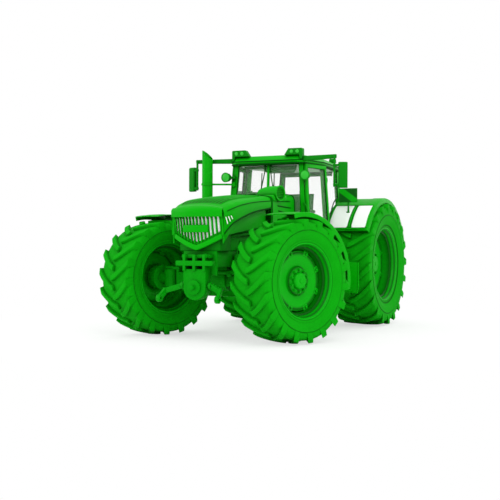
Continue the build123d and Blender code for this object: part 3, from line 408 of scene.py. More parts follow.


def shade_valleys(material, name, colour, share):
    """Darkens a paint where the piece's own attribute says that dirt lies between its ribs."""
    tree = material.node_tree
    shader = next(n for n in tree.nodes if n.bl_idname == "ShaderNodeBsdfPrincipled")
    before = shader.inputs["Base Color"].links[0].from_socket
    where = add_node(tree, "ShaderNodeAttribute", attribute_name=name)
    deep = add_node(tree, "ShaderNodeMath", {0: where.outputs["Fac"], 1: share}, operation="MULTIPLY")
    mix = add_node(tree, "ShaderNodeMix", {"Factor": deep.outputs[0], "A": before}, data_type="RGBA")
    mix.inputs["B"].default_value = tuple(c * 0.16 for c in colour[:3]) + (1,)
    tree.links.new(mix.outputs["Result"], shader.inputs["Base Color"])
    return material


def make_materials():
    """Every finish on the tractor, by the name its pieces ask for."""
    tint = bpy.context.scene.tractor_colours
    made = {}
    # Two-pack enamel on pressed steel: even colour, a clear top layer and faint orange peel 6 mm across.
    made["enamel"] = painted("sprayed_two_pack_enamel", tint.enamel, 0.46, 0.04, 0.006, 0.0004)
    # the ribbed bonnet, the rims and the tyres also take painted shade in the valleys their pieces mark
    ribbed = painted("sprayed_enamel_on_ribbed_steel", tint.enamel, 0.50, 0.02, 0.006, 0.0004)
    made["ribbed"] = shade_valleys(ribbed, "valley", tint.enamel, 1.0)
    # Enamel brushed over sand-cast iron: duller, with the mould's grain, drawn 5 mm wide so that it shows.
    made["casting"] = painted("enamel_on_sand_cast_iron", tint.casting, 0.58, 0.0, 0.005, 0.0022, 0.12)
    # Enamel baked on rolled steel rims: smooth and a little glossier than the castings.
    rim = painted("baked_enamel_on_rolled_steel", tint.rim, 0.44, 0.05, 0.010, 0.0005)
    made["rim"] = shade_valleys(rim, "valley", tint.rim, 0.9)
    # Moulded rubber: dull, with a dusty bloom and grain drawn 4 mm wide so that it shows.
    rubber = painted("moulded_tyre_rubber", tint.rubber, 0.78, 0.0, 0.004, 0.0012, 0.14)
    made["rubber"] = shade_valleys(rubber, "valley", tint.rubber, 0.9)
    # Injection-moulded ABS: low gloss with an etched stipple about 3 mm wide.
    made["plastic"] = painted("moulded_abs_with_stipple", tint.plastic, 0.52, 0.0, 0.003, 0.0008, 0.06)
    # Painted steel bar worn to a low sheen where tools and pins rub.
    made["steel"] = painted("painted_forged_steel", tint.casting, 0.46, 0.05, 0.008, 0.0010, 0.10)
    # Galvanised wire cloth before the radiator: pale and dull, its mesh drawn 4 mm wide so that it shows.
    made["screen"] = painted("galvanised_wire_cloth", linear("FAFDFA"), 0.7, 0.0, 0.004, 0.0010, 0.04, 0.0)
    # Extruded EPDM seal: deep green, dull and slightly dusty.
    made["seal"] = painted("extruded_epdm_seal", linear("004A06"), 0.7, 0.0, 0.004, 0.0006, 0.15)
    # Pale polyester gel coat: smooth, almost white, with a low sheen; on the fenders this white is a painted
    # highlight.
    made["pale"] = painted("pale_gel_coat_painted_highlight", linear("F4FAF4"), 0.45, 0.1, 0.010, 0.0004, 0.03, 0.2)
    # Perforated vinyl of the cab's ceiling: off-white and matt.
    made["lining"] = painted("perforated_vinyl_lining", linear("EAF4EA"), 0.85, 0.0, 0.004, 0.0008, 0.04,
            0.15)
    # Toughened sheet glass 6 mm thick: clear, with a faint film of dust that shows as a pale haze.
    made["glass"] = clear_sheet("toughened_sheet_glass", linear("F2FAF2"), 0.045, 0.04)
    # Hard-coated polycarbonate: ribbed inside, so it looks milky green rather than clear.
    made["lens"] = painted("milky_polycarbonate_cover", tint.lens, 0.15, 0.3, 0.004, 0.0006, 0.05, 0.4)
    made["mirror"] = mirror_material()
    made["stripes"] = stripe_material()
    made["fabric"] = fabric_material(tint.fabric)
    return made


def mirror_material():
    """Silvered glass: a flat mirror with a breath of dust."""
    material, tree, shader = new_material("silvered_mirror_glass")
    shader.inputs["Base Color"].default_value = linear("E8EEE8")
    shader.inputs["Metallic"].default_value = 1.0
    dust = grain(tree, 0.08, 3.0)
    spread = add_node(tree, "ShaderNodeMapRange", {"Value": dust.outputs["Fac"], "To Min": 0.02,
            "To Max": 0.10})
    tree.links.new(spread.outputs["Result"], shader.inputs["Roughness"])
    return material


BOARD_Y = 0.907  # middle of a width board
STRIPE_FALL, STRIPE_HALF = 0.72, 0.055  # slope of the stripe, and half its width upright


def stripe_material():
    """Reflective film: one broad diagonal stripe, falling outwards, on bead-filled sheeting."""
    material, tree, shader = new_material("striped_reflective_film")
    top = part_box("marker_boards")[1].z
    where = add_node(tree, "ShaderNodeTexCoord")
    parts = add_node(tree, "ShaderNodeSeparateXYZ", {"Vector": where.outputs["Object"]})
    width = add_node(tree, "ShaderNodeMath", {0: parts.outputs["Y"]}, operation="ABSOLUTE")
    fall = add_node(tree, "ShaderNodeMath", {0: width.outputs[0], 1: STRIPE_FALL}, operation="MULTIPLY")
    slant = add_node(tree, "ShaderNodeMath", {0: fall.outputs[0], 1: parts.outputs["Z"]}, operation="ADD")
    middle = STRIPE_FALL * BOARD_Y + top - 0.110
    off = add_node(tree, "ShaderNodeMath", {0: slant.outputs[0], 1: middle}, operation="SUBTRACT")
    away = add_node(tree, "ShaderNodeMath", {0: off.outputs[0]}, operation="ABSOLUTE")
    stripe = add_node(tree, "ShaderNodeMath", {0: away.outputs[0], 1: STRIPE_HALF}, operation="LESS_THAN")
    mix = add_node(tree, "ShaderNodeMix", {"Factor": stripe.outputs[0]}, data_type="RGBA")
    mix.inputs["A"].default_value = linear("005A08")
    mix.inputs["B"].default_value = linear("00A804")
    tree.links.new(mix.outputs["Result"], shader.inputs["Base Color"])
    shader.inputs["Roughness"].default_value = 0.35
    shader.inputs["Specular IOR Level"].default_value = 0.2
    beads = grain(tree, 0.004, 2.0)
    bumped(tree, shader, beads.outputs["Fac"], 0.0004, 0.4)
    return material


def fabric_material(colour):
    """Flat-woven polyester: crossed threads drawn 4 mm wide so that the weave shows, with a soft sheen."""
    material, tree, shader = new_material("flat_woven_polyester")
    where = add_node(tree, "ShaderNodeTexCoord")
    waves = [add_node(tree, "ShaderNodeTexWave", {"Vector": where.outputs["Object"], "Scale": 40,
            "Distortion": 0.4}, bands_direction=axis) for axis in ("Y", "DIAGONAL")]
    weave = add_node(tree, "ShaderNodeMath", {0: waves[0].outputs["Fac"], 1: waves[1].outputs["Fac"]},
            operation="MULTIPLY")
    tree.links.new(shades(tree, colour, 0.8, 1.1, weave.outputs[0]), shader.inputs["Base Color"])
    shader.inputs["Roughness"].default_value = 0.9
    shader.inputs["Sheen Weight"].default_value = 0.3
    bumped(tree, shader, weave.outputs[0], 0.0008, 0.5)
    return material


def clear_sheet(name, colour, haze, gloss):
    """Thin clear sheet: what is behind it shows through, under a slight haze and a sharp reflection."""
    material, tree, shader = new_material(name)
    shader.inputs["Base Color"].default_value = colour
    shader.inputs["IOR"].default_value = 1.45
    film = grain(tree, 0.4, 2.0)
    spread = add_node(tree, "ShaderNodeMapRange", {"Value": film.outputs["Fac"], "To Min": gloss,
            "To Max": gloss + 0.04})
    tree.links.new(spread.outputs["Result"], shader.inputs["Roughness"])
    shader.inputs["Alpha"].default_value = haze
    return material


FINISH = {}

# ---------------------------------------------------------------- which node has which finish
ROUNDED = {  # node: (finish, slot, edge radius in metres)
    "front_frame": ("casting", "casting", 0.010), "engine_block": ("casting", "casting", 0.012),
    "radiator": ("plastic", "plastic", 0.006), "transmission_housing": ("casting", "casting", 0.012),
    "front_axle_beam": ("casting", "casting", 0.010), "knuckle_left": ("casting", "casting", 0.008),
    "knuckle_right": ("casting", "casting", 0.008), "tie_rod": ("steel", "steel", 0.004),
    "cab_floor": ("plastic", "plastic", 0.006), "cab_pillars": ("enamel", "enamel", 0.007),
    "cab_roof": ("enamel", "enamel", 0.018), "cab_walls": ("enamel", "enamel", 0.006),
    "door_left": ("enamel", "enamel", 0.006), "door_right": ("enamel", "enamel", 0.006),
    "battery_box": ("enamel", "enamel", 0.016), "fuel_tank": ("plastic", "plastic", 0.028),
    "steps": ("steel", "steel", 0.003), "front_hitch": ("casting", "casting", 0.010),
    "front_links": ("steel", "steel", 0.006), "rear_links": ("steel", "steel", 0.006),
    "lift_arms": ("casting", "casting", 0.006), "lift_rods": ("steel", "steel", 0.003),
    "drawbar": ("steel", "steel", 0.006), "cab_controls": ("plastic", "plastic", 0.005),
    "side_shields": ("enamel", "enamel", 0.003),
}
BODY_OF = {node: body for body, nodes in frame["record"]["behaviour"]["bodies"].items() for node in nodes}


def round_nodes():
    """Corner-rounded copies of the frame's plainer nodes."""
    for node, (finish, slot, edge) in ROUNDED.items():
        piece = softened(node, edge)
        fitted(piece, BODY_OF[node], FINISH[finish], (node,))


# ---------------------------------------------------------------- wheels
FRONT = {"tip": 0.815, "half": 0.3145, "flange": 0.488, "rim_half": 0.265, "disc": 0.110, "hub": 0.170,
        "bar_h": 0.042}
REAR = {"tip": 0.980, "half": 0.355, "flange": 0.580, "rim_half": 0.290, "disc": 0.060, "hub": 0.200,
        "bar_h": 0.050}


def mark_rings(piece, rings):
    """Marks rings of a turned piece about the Y axis as dirty: (radius, along, reach) each."""
    valley = piece.data.attributes.new("valley", "FLOAT", "POINT")
    for vertex, valley_shade in zip(piece.data.vertices, valley.data):
        r, y = hypot(vertex.co.x, vertex.co.z), abs(vertex.co.y)
        valley_shade.value = float(any(abs(r - radius) < reach and (along is None or abs(y - along) < 0.012)
                for radius, along, reach in rings))
    return piece


def carcass(wheel, name, steps):
    """The tyre's body: beads on the rim, bulging walls with raised rings, and a crowned tread."""
    t, h, f, w = wheel["tip"], wheel["half"], wheel["flange"], wheel["rim_half"]
    g = t - wheel["bar_h"]
    wall = g - f
    right = [  # one half from the middle of the tread to the bead
        (0.0, g), (0.35 * h, g - 0.001), (0.65 * h, g - 0.005), (0.86 * h, g - 0.014), (0.935 * h, g - 0.032),
        (0.968 * h, f + 0.74 * wall), (0.972 * h, f + 0.62 * wall), (0.974 * h, f + 0.60 * wall),
        (0.982 * h, f + 0.59 * wall),
        (0.983 * h, f + 0.56 * wall), (0.972 * h, f + 0.545 * wall), (0.960 * h, f + 0.42 * wall),
        (0.925 * h, f + 0.28 * wall),
        (0.875 * h, f + 0.17 * wall), (0.868 * h, f + 0.13 * wall), (0.855 * h, f + 0.12 * wall),
        (w + 0.012, f + 0.045),
        (w + 0.010, f + 0.022), (w + 0.002, f + 0.006), (w - 0.016, f + 0.002),
    ]
    profile = [(-y, r) for y, r in reversed(right[1:])] + right
    body = turned(name, profile, (0, 0, 0), (0, 1, 0), steps)
    # painted shade: dark rings in the grooves of the walls and at the bead
    return mark_rings(body, [(f + 0.595 * wall, None, 0.004), (f + 0.125 * wall, None, 0.004),
            (f + 0.006, None, 0.004)])


def tread_bar(wheel, name, turn_back):
    """One curved tread bar at the wheel's top, from past the tread's middle over the shoulder."""
    t, h = wheel["tip"], wheel["half"]
    g = t - wheel["bar_h"]
    rows, bend = 16, 0.875  # the bar turns down the wall over its last two rows
    choose()
    bpy.ops.mesh.primitive_cube_add(size=1)
    bar = named(name)
    open_edit(bar)
    bpy.ops.mesh.subdivide(number_cuts=rows - 1)
    close_edit()
    # keep only the outer skin's lengthwise cuts: the cube's other two directions are squeezed to their ends
    for vertex in bar.data.vertices:
        x, y, z = vertex.co
        vertex.co = (0.5 if x > 0.26 else -0.5 if x < -0.26 else 0.0, y, 0.5 if z > 0 else -0.5)
    face_outwards(bar, 0.001)
    for vertex in bar.data.vertices:
        side, along, up = vertex.co.x, vertex.co.y + 0.5, vertex.co.z > 0
        # along 0 is just past the middle, 1 is the bar's foot on the wall
        reach = min(1.0, along / bend)
        over = max(0.0, (along - bend) / (1 - bend))
        y = (-0.05 + 1.03 * reach + 0.012 * over) * h
        top = t - 0.020 * reach ** 2 - 0.120 * over
        foot = (g - 0.03 * reach ** 3 - 0.012) - (0.12 * over if over else 0)
        if over and not up:
            y = (0.97 - 0.035 * over) * h
            foot = top - 0.055
        back = radians(turn_back) * (0.30 * reach + 0.70 * reach ** 1.6) + radians(1.3) * over
        wide = (0.066 + 0.026 * reach) + (0.024 if not up else 0)
        angle = -back + side * wide / t
        r = top if up else foot
        vertex.co = (r * sin(angle), y, r * cos(angle))
    face_outwards(bar)
    return round_edges(bar, bpy.context.scene.tractor_sizes.bar_round, 2, 35)


def tyre(wheel, name, bars, steps):
    """A whole tyre at the origin: body and two rows of bars in a V."""
    body = carcass(wheel, name + "_body", steps)
    bar = tread_bar(wheel, name + "_bar", 16.5)
    pitch = 2 * pi / bars
    pieces = [body]
    for k in range(bars):
        turn = Matrix.Rotation(pi + k * pitch, 4, "Y")
        pieces.append(copied(bar, turn))
        pieces.append(copied(bar, Matrix.Rotation(pi + (k + 0.5) * pitch, 4, "Y") @ FLIP))
    bpy.data.objects.remove(bar)
    return joined(name, *pieces)


def rim_disc(wheel, name):
    """Rim barrel with flanges and steps, dished disc, hub cap, nuts and clamping lugs, outer face on +Y."""
    f, w, d, hub = wheel["flange"], wheel["rim_half"], wheel["disc"], wheel["hub"]
    barrel = [(w, f + 0.012), (w + 0.006, f + 0.006), (w + 0.004, f - 0.006), (w - 0.012, f - 0.012),
            (w - 0.022, f - 0.026), (w - 0.060, f - 0.040), (w - 0.085, f - 0.044), (w - 0.100, f - 0.066),
            (0.080, f - 0.082), (-0.080, f - 0.082), (-w + 0.100, f - 0.066), (-w + 0.085, f - 0.044),
            (-w + 0.060, f - 0.040), (-w + 0.022, f - 0.026), (-w + 0.012, f - 0.012),
            (-w - 0.004, f - 0.006), (-w - 0.006, f + 0.006), (-w, f + 0.012), (-w + 0.010, f + 0.004),
            (-w + 0.026, f - 0.008), (-w + 0.090, f - 0.030), (-0.06, f - 0.066), (0.06, f - 0.066),
            (w - 0.090, f - 0.030), (w - 0.026, f - 0.008), (w - 0.010, f + 0.004),]
    # painted shade goes into the steps of the barrel and the grooves of the dish
    shell = mark_rings(turned(name + "_barrel", barrel, (0, 0, 0), (0, 1, 0), 96),
            [(f - 0.026, w - 0.022, 0.002), (f - 0.044, w - 0.085, 0.002), (f - 0.066, w - 0.090, 0.003)])
    dish = [(d - 0.060, f - 0.070), (d - 0.030, f - 0.084), (d + 0.006, f - 0.100), (d + 0.014, f - 0.125),
            (d + 0.002, f - 0.160), (d - 0.016, hub + 0.060), (d - 0.014, hub + 0.030),
            (d + 0.018, hub + 0.012), (d + 0.022, hub - 0.030), (d + 0.022, 0.0), (d - 0.004, 0.0),
            (d - 0.004, hub - 0.02), (d - 0.034, hub + 0.02), (d - 0.040, hub + 0.06),
            (d - 0.024, f - 0.160), (d - 0.012, f - 0.128), (d - 0.018, f - 0.106), (d - 0.070, f - 0.080),]
    disc = mark_rings(turned(name + "_dish", dish, (0, 0, 0), (0, 1, 0), 96),
            [(f - 0.084, None, 0.003), (f - 0.125, None, 0.003), (hub + 0.012, None, 0.003)])
    cap = [(d + 0.018, 0.0), (d + 0.018, hub - 0.055), (d + 0.040, hub - 0.060), (d + 0.062, hub - 0.070),
            (d + 0.072, hub - 0.084), (d + 0.074, hub - 0.110), (d + 0.070, hub - 0.120),
            (d + 0.073, 0.030), (d + 0.080, 0.026), (d + 0.080, 0.0)]
    hub_cap = turned(name + "_cap", cap, (0, 0, 0), (0, 1, 0), 64)
    nut = round_bar(name + "_nut", (0, d + 0.016, hub - 0.024), (0, d + 0.046, hub - 0.024), 0.019, 6, 0.002)
    stud = round_bar(name + "_stud", (0, d + 0.040, hub - 0.024), (0, d + 0.058, hub - 0.024), 0.010, 12,
            0.001)
    washer = round_bar(name + "_washer", (0, d + 0.014, hub - 0.024), (0, d + 0.024, hub - 0.024), 0.026,
            20, 0.002)
    one = joined(name + "_fixing", nut, stud, washer)
    fixings = [copied(one, Matrix.Rotation(2 * pi * k / 10, 4, "Y")) for k in range(10)]
    bpy.data.objects.remove(one)
    clamp = block(name + "_clamp", (-0.045, d - 0.030, f - 0.150), (0.045, d + 0.014, f - 0.074), 0.010, 2)
    bolt = round_bar(name + "_bolt", (0, d + 0.010, f - 0.120), (0, d + 0.034, f - 0.120), 0.016, 6, 0.002)
    pad = joined(name + "_pad", clamp, bolt)
    pads = [copied(pad, Matrix.Rotation(2 * pi * (k + 0.5) / 8, 4, "Y")) for k in range(8)]
    bpy.data.objects.remove(pad)
    return joined(name, shell, disc, hub_cap, *fixings, *pads)


def set_wheel(joint, side):
    """The matrix that takes a wheel made at the origin to its hub's place and angle."""
    spin = JOINTS[joint]
    axis = Vector(spin["axis"])
    turn = Matrix.Rotation(-atan2(axis.x, axis.y), 4, "Z")
    flip = FLIP if side < 0 else Matrix.Identity(4)
    return Matrix.Translation(Vector(spin["pos_m"])) @ turn @ flip


def make_wheels():
    """Four tyres and four rims."""
    sizes = bpy.context.scene.tractor_sizes
    for end, wheel, bars, steps in (("front", FRONT, sizes.front_bars, 72),
            ("rear", REAR, sizes.rear_bars, 80)):
        rubber, steel = tyre(wheel, end + "_tyre_model", bars, steps), rim_disc(wheel, end + "_rim_model")
        for side, word in ((1, "left"), (-1, "right")):
            joint, body = f"spin_{end}_{word}", f"{end}_wheel_{word}"
            place = set_wheel(joint, side)
            fitted(copied(rubber, place, f"{end}_{word}_tyre_with_bars"), body, FINISH["rubber"],
                    (f"{end}_tyre_{word}",), 40)
            fitted(copied(steel, place, f"{end}_{word}_wheel_rim"), body, FINISH["rim"],
                    (f"{end}_rim_{word}",), 35)
        bpy.data.objects.remove(rubber)
        bpy.data.objects.remove(steel)


# ---------------------------------------------------------------- hood
FRONT_AXLE_X = JOINTS["steer_left"]["pos_m"][0]
HOOD = [  # ahead of the front axle: half width, lower edge, shoulder and top heights
    (-0.600, 0.450, 1.790, 1.895, 1.985), (-0.060, 0.448, 1.712, 1.850, 1.936),
    (0.300, 0.438, 1.618, 1.795, 1.893),
    (0.500, 0.420, 1.540, 1.745, 1.850), (0.665, 0.385, 1.405, 1.690, 1.785),
]
COWL = [(-1.410, 0.462, 1.320, 1.920, 2.045), (-0.625, 0.452, 1.575, 1.895, 1.987)]
RIBBED = 0.6 * 0.93  # how far across, from the middle, the top has ribs
RIBS = 6  # on each half


def rib_rise(a):
    """How high the ribbed sheet stands across the hood, from 0 in a valley to 1 on a rib."""
    return max(0.0, (cos(2 * pi * RIBS * a / RIBBED) - 0.25) / 0.75) ** 0.5




def curve_through(table, x):
    """Values of a table at x, on a smooth curve through its rows."""
    last = len(table) - 1
    i = max(0, min(last - 1, sum(1 for row in table if row[0] <= x) - 1))
    (x0, *a), (x1, *b) = table[i], table[i + 1]
    before, after = table[max(0, i - 1)], table[min(last, i + 2)]
    t = min(1.0, max(0.0, (x - x0) / (x1 - x0)))
    values = []
    for k in range(len(a)):
        m0 = (b[k] - before[k + 1]) / (x1 - before[0]) if i else (b[k] - a[k]) / (x1 - x0)
        m1 = (after[k + 1] - a[k]) / (after[0] - x0) if i + 1 < last else (b[k] - a[k]) / (x1 - x0)
        h = x1 - x0
        values.append((2 * t ** 3 - 3 * t ** 2 + 1) * a[k] + (t ** 3 - 2 * t ** 2 + t) * h * m0
                      + (3 * t ** 2 - 2 * t ** 3) * b[k] + (t ** 3 - t ** 2) * h * m1)
    return values


def hood_point(table, x, across, ribs=0.0):
    """A point of the hood at x, from its middle (0) over the shoulder to its lower edge (+-1)."""
    half, low, shoulder, top = curve_through(table, x)
    side, a = (1 if across >= 0 else -1), abs(across)
    flat = half - 0.085
    if a < 0.6:
        y = flat * a / 0.6
        z = top - 0.026 * (y / flat) ** 2
        if ribs and a < RIBBED:
            z += ribs * rib_rise(a)
    elif a < 0.8:
        t = (a - 0.6) / 0.2
        y = flat * (1 - t) ** 2 + 2 * (half - 0.004) * t * (1 - t) + half * t ** 2
        z = (top - 0.026) * (1 - t) ** 2 + 2 * (top - 0.040) * t * (1 - t) + shoulder * t ** 2
    else:
        t = (a - 0.8) / 0.2
        y, z = half + 0.006 * sin(pi * t), shoulder + (low - shoulder) * t
    return Vector((FRONT_AXLE_X + x, side * y, z))


def make_bonnet():
    """Bonnet: pressed sheet with lengthwise ribs along its top, slots in its cheeks and a rolled edge."""
    def place(u, v):
        x = -0.600 + 1.265 * u
        fade = min(1.0, max(0.0, (x + 0.50) / 0.06)) * min(1.0, max(0.0, (0.60 - x) / 0.05))
        return hood_point(HOOD, x, 2 * v - 1, 0.012 * fade)

    sheet = skin("bonnet_with_ribs", 72, 300, place)
    # painted shade: the valleys between the ribs are marked for the ribbed finish to darken
    valley = sheet.data.attributes.new("valley", "FLOAT", "POINT")
    choose(sheet)
    for vertex, valley_shade in zip(sheet.data.vertices, valley.data):
        x = vertex.co.x - FRONT_AXLE_X
        half, _, _, top = curve_through(HOOD, min(0.665, max(-0.600, x)))
        a = 0.6 * abs(vertex.co.y) / (half - 0.085)
        if a < RIBBED and vertex.co.z > top - 0.04:
            valley_shade.value = (1 - min(1.0, 1.6 * rib_rise(a))) * min(1.0,
                    max(0.0, (x + 0.50) / 0.06)) * min(1.0, max(0.0, (0.60 - x) / 0.05))
    apply_modifier(sheet, "SOLIDIFY", thickness=0.006, offset=-1)
    pieces = [sheet]
    screens = []
    for side in (1, -1):  # the grille goes on round the cheeks: pale screen strips between slanted slats
        for k in range(3):
            front_x, climb, wide = 0.640 - 0.050 * k, 0.090 - 0.012 * k, 0.020

            def place_strip(u, v, front_x=front_x, climb=climb, wide=wide, side=side):
                on = hood_point(HOOD, front_x - 0.040 * (1 - u) + wide * (v - 0.5),
                        side * (0.935 - climb * u))
                return on + Vector((0, side * 0.003, 0))
            strip = skin("cheek_screen", 8, 2, place_strip)
            apply_modifier(strip, "SOLIDIFY", thickness=0.005, offset=0)
            screens.append(strip)
            edge = [place_strip(u, v) for u, v in ((0, 0), (0.5, 0), (1, 0), (1, 1), (0.5, 1), (0, 1),
                    (0, 0))]
            pieces.append(pipe("cheek_rim", [tuple(p) for p in edge], 0.005, False, 3))
    fitted(joined("cheek_screens", *screens), "bonnet", FINISH["screen"])
    trims = []
    for side in (1, -1):  # rubber edge below, whose dark colour is painted shade, and a shut line along the shoulder
        edge = [Vector(hood_point(HOOD, -0.600 + 1.255 * k / 24, side)) - Vector((0, side * 0.006, -0.006))
                for k in range(25)]
        trims.append(pipe("bonnet_hem_painted_shade", edge, 0.014, True, 3))
        shoulder = [Vector(hood_point(HOOD, -0.598 + 1.20 * k / 24, side * 0.800))
                + Vector((0, side * 0.002, 0)) for k in range(25)]
        trims.append(pipe("bonnet_shut_line", shoulder, 0.0055, True, 3))
    fitted(joined("bonnet_painted_shade_hems_and_shut_lines", *trims), "bonnet", FINISH["seal"])
    return fitted(joined("bonnet_ribbed_sheet", *pieces), "bonnet", FINISH["ribbed"],
            ("bonnet_shell",), 35)


NOSE_TIP_X, NOSE_RADIUS, NOSE_HALF = 2.425, 0.7755, 0.353
NOSE_RAKE = 0.075  # how far the grille's foot stands behind its head


def nose_x(y):
    """How far forward the nose's round plan reaches at y."""
    return NOSE_TIP_X - NOSE_RADIUS + (NOSE_RADIUS ** 2 - y ** 2) ** 0.5


def lip_z(y):
    """Height of the middle of the nose's lip, lowest in the middle."""
    return 1.238 + 0.16 * (abs(y) / NOSE_HALF) ** 1.2


def nose_front(y, z):
    """The nose's face at y and z, leaning back below the brow."""
    return nose_x(y) - NOSE_RAKE * max(0.0, (1.66 - z) / 0.40)


def band(name, path, wide, deep, edge):
    """A band of rectangular section along a path of (place, outward, up) in the nose's face."""
    choose()
    bpy.ops.mesh.primitive_grid_add(x_subdivisions=len(path) - 1, y_subdivisions=1, size=1)
    piece = named(name)
    order = sorted(piece.data.vertices, key=lambda v: (round(v.co.x, 4), v.co.y))
    for k, (place, _, up) in enumerate(path):
        order[2 * k].co = place - up * wide / 2
        order[2 * k + 1].co = place + up * wide / 2
    apply_modifier(piece, "SOLIDIFY", thickness=deep, offset=0, use_even_offset=True)
    return round_edges(face_outwards(piece), edge, 3, 40)


def make_nose():
    """Nose: overhanging brow, cheeks, upright slats, plain plate, V-shaped lip and a screen behind."""
    slats = bpy.context.scene.tractor_sizes.slats
    pieces = []
    rows = 24
    ys = [NOSE_HALF * (2 * k / rows - 1) for k in range(rows + 1)]

    def brow_place(u, v):
        y = NOSE_HALF * 1.045 * (2 * u - 1)
        edge = nose_x(min(abs(y), NOSE_HALF * 1.045)) + 0.004
        t = v
        back = hood_point(HOOD, 0.660, max(-0.6, min(0.6, 0.6 * y / 0.30)))
        z_top = back.z - 0.012 - 0.05 * max(0, abs(y) / NOSE_HALF - 0.75)
        x = back.x + (edge - back.x) * min(1.0, t / 0.6)
        z = z_top - (z_top - 1.712) * (min(1.0, t / 0.6)) ** 2.2
        if t > 0.6:
            z = 1.712 - 0.072 * (t - 0.6) / 0.4
            x = edge - 0.010 * ((t - 0.6) / 0.4)
        return Vector((x, y, z))

    brow = skin("nose_brow", 40, 14, brow_place)
    apply_modifier(brow, "SOLIDIFY", thickness=0.022, offset=-1)
    pieces.append(brow)
    lip = [(Vector((nose_front(y, lip_z(y)) - 0.012, y, lip_z(y))), None, Vector((0, 0, 1))) for y in ys]
    pieces.append(band("nose_lip", lip, 0.075, 0.050, 0.012))
    inner_lip = [(Vector((nose_front(y, lip_z(y)) - 0.030, y, lip_z(y) + 0.055)), None, Vector((0, 0, 1)))
            for y in ys]
    pieces.append(band("nose_lip_step", inner_lip, 0.040, 0.030, 0.006))
    for side in (1, -1):
        cheek = plate(f"cheek_{side}", [(2.318, side * 0.383, 1.405), (2.318, side * 0.383, 1.700),
                (2.345, side * 0.366, 1.700), (2.345 - NOSE_RAKE, side * 0.366, 1.385)],
                (0, -side * 0.026, 0), 0.006)
        pieces.append(cheek)
    for k in range(slats):
        y = -NOSE_HALF + 0.020 + (2 * NOSE_HALF - 0.040) * k / (slats - 1)
        top, foot = 1.690, lip_z(y) + 0.02
        x1, x0 = nose_front(y, top) - 0.006, nose_front(y, foot) - 0.012
        slat = plate(f"slat_{k}", [(x1, y - 0.0095, top), (x1 - 0.034, y - 0.0095, top),
                (x0 - 0.034, y - 0.0095, foot), (x0, y - 0.0095, foot)], (0, 0.019, 0), 0.005, 3)
        pieces.append(slat)
        tooth = plate(f"tooth_{k}", [(nose_x(y) - 0.002, y - 0.014, 1.660),
                (nose_x(y) - 0.002, y + 0.014, 1.660), (nose_x(y) - 0.006, y + 0.002, 1.610),
                (nose_x(y) - 0.006, y - 0.002, 1.610)], (-0.016, 0, 0), 0.002)
        pieces.append(tooth)
    cross = [(Vector((nose_front(y, 1.485) - 0.002, y, 1.485)), None, Vector((0, 0, 1)))
            for y in [0.185 * (2 * k / 12 - 1) for k in range(13)]]
    pieces.append(band("nose_plate", cross, 0.098, 0.026, 0.006))
    def screen_place(u, v):
        y = 0.335 * (2 * u - 1)
        z = lip_z(y) + (1.700 - lip_z(y)) * v
        return Vector((nose_front(y, z) - 0.044, y, z))

    screen = skin("nose_screen", 24, 8, screen_place)
    apply_modifier(screen, "SOLIDIFY", thickness=0.004, offset=0)
    fitted(screen, "bonnet", FINISH["screen"])
    return fitted(joined("nose_with_slats", *pieces), "bonnet", FINISH["enamel"], ("grille",), 40)


def make_cowl():
    """Fixed hood before the windscreen, with a raised band at its front joint and a wiper shelf."""
    def place(u, v):
        return hood_point(COWL, -1.410 + 0.785 * u, 2 * v - 1)

    sheet = skin("cowl_sheet", 28, 72, place)
    apply_modifier(sheet, "SOLIDIFY", thickness=0.008, offset=-1)
    pieces = [sheet]
    trims = []
    for x in (-0.640, -1.395):
        strip = [hood_point(COWL, x, -1 + 2 * k / 60) + Vector((0, 0, 0.002)) for k in range(61)]
        trims.append(pipe("cowl_strip", strip, 0.010, False, 3))
    for side in (1, -1):  # three long vents on each side
        for k, across in enumerate((0.800, 0.835, 0.870)):
            vent = [hood_point(COWL, -0.800 - 0.43 * t / 8 - 0.02 * k, side * across)
                    + Vector((0, side * 0.003, 0)) for t in range(9)]
            trims.append(pipe("cowl_vent", vent, 0.008, True, 3))
    fitted(joined("cowl_seals_and_vents", *trims), "chassis", FINISH["seal"])
    for side in (1, -1):
        edge = [hood_point(COWL, -1.405 + 0.78 * k / 16, side) for k in range(17)]
        pieces.append(pipe(f"cowl_hem_{side}", edge, 0.007, True, 3))
    return fitted(joined("cowl_before_windscreen", *pieces), "chassis", FINISH["enamel"],
            ("hood_cowl",), 35)


# ---------------------------------------------------------------- guards
def rolled(name, outline, centre, start, sweep, steps):
    """A rolled sheet: (across, radius) points swept round an axle, from start degrees ahead of the top."""
    choose()
    bpy.ops.mesh.primitive_circle_add(vertices=len(outline), fill_type="NGON")
    piece = named(name)
    a = radians(start)
    for vertex, (y, r) in zip(piece.data.vertices, outline):
        vertex.co = Vector(centre) + Vector((r * sin(a), y, r * cos(a)))
    open_edit(piece)
    # the sweep runs from ahead over the top to the rear
    bpy.ops.mesh.spin(steps=steps, angle=radians(sweep), center=centre, axis=(0, 1, 0))
    close_edit()
    return face_outwards(piece)


FRONT_HUB_Z = FRONT["tip"]  # the tyres stand on the ground


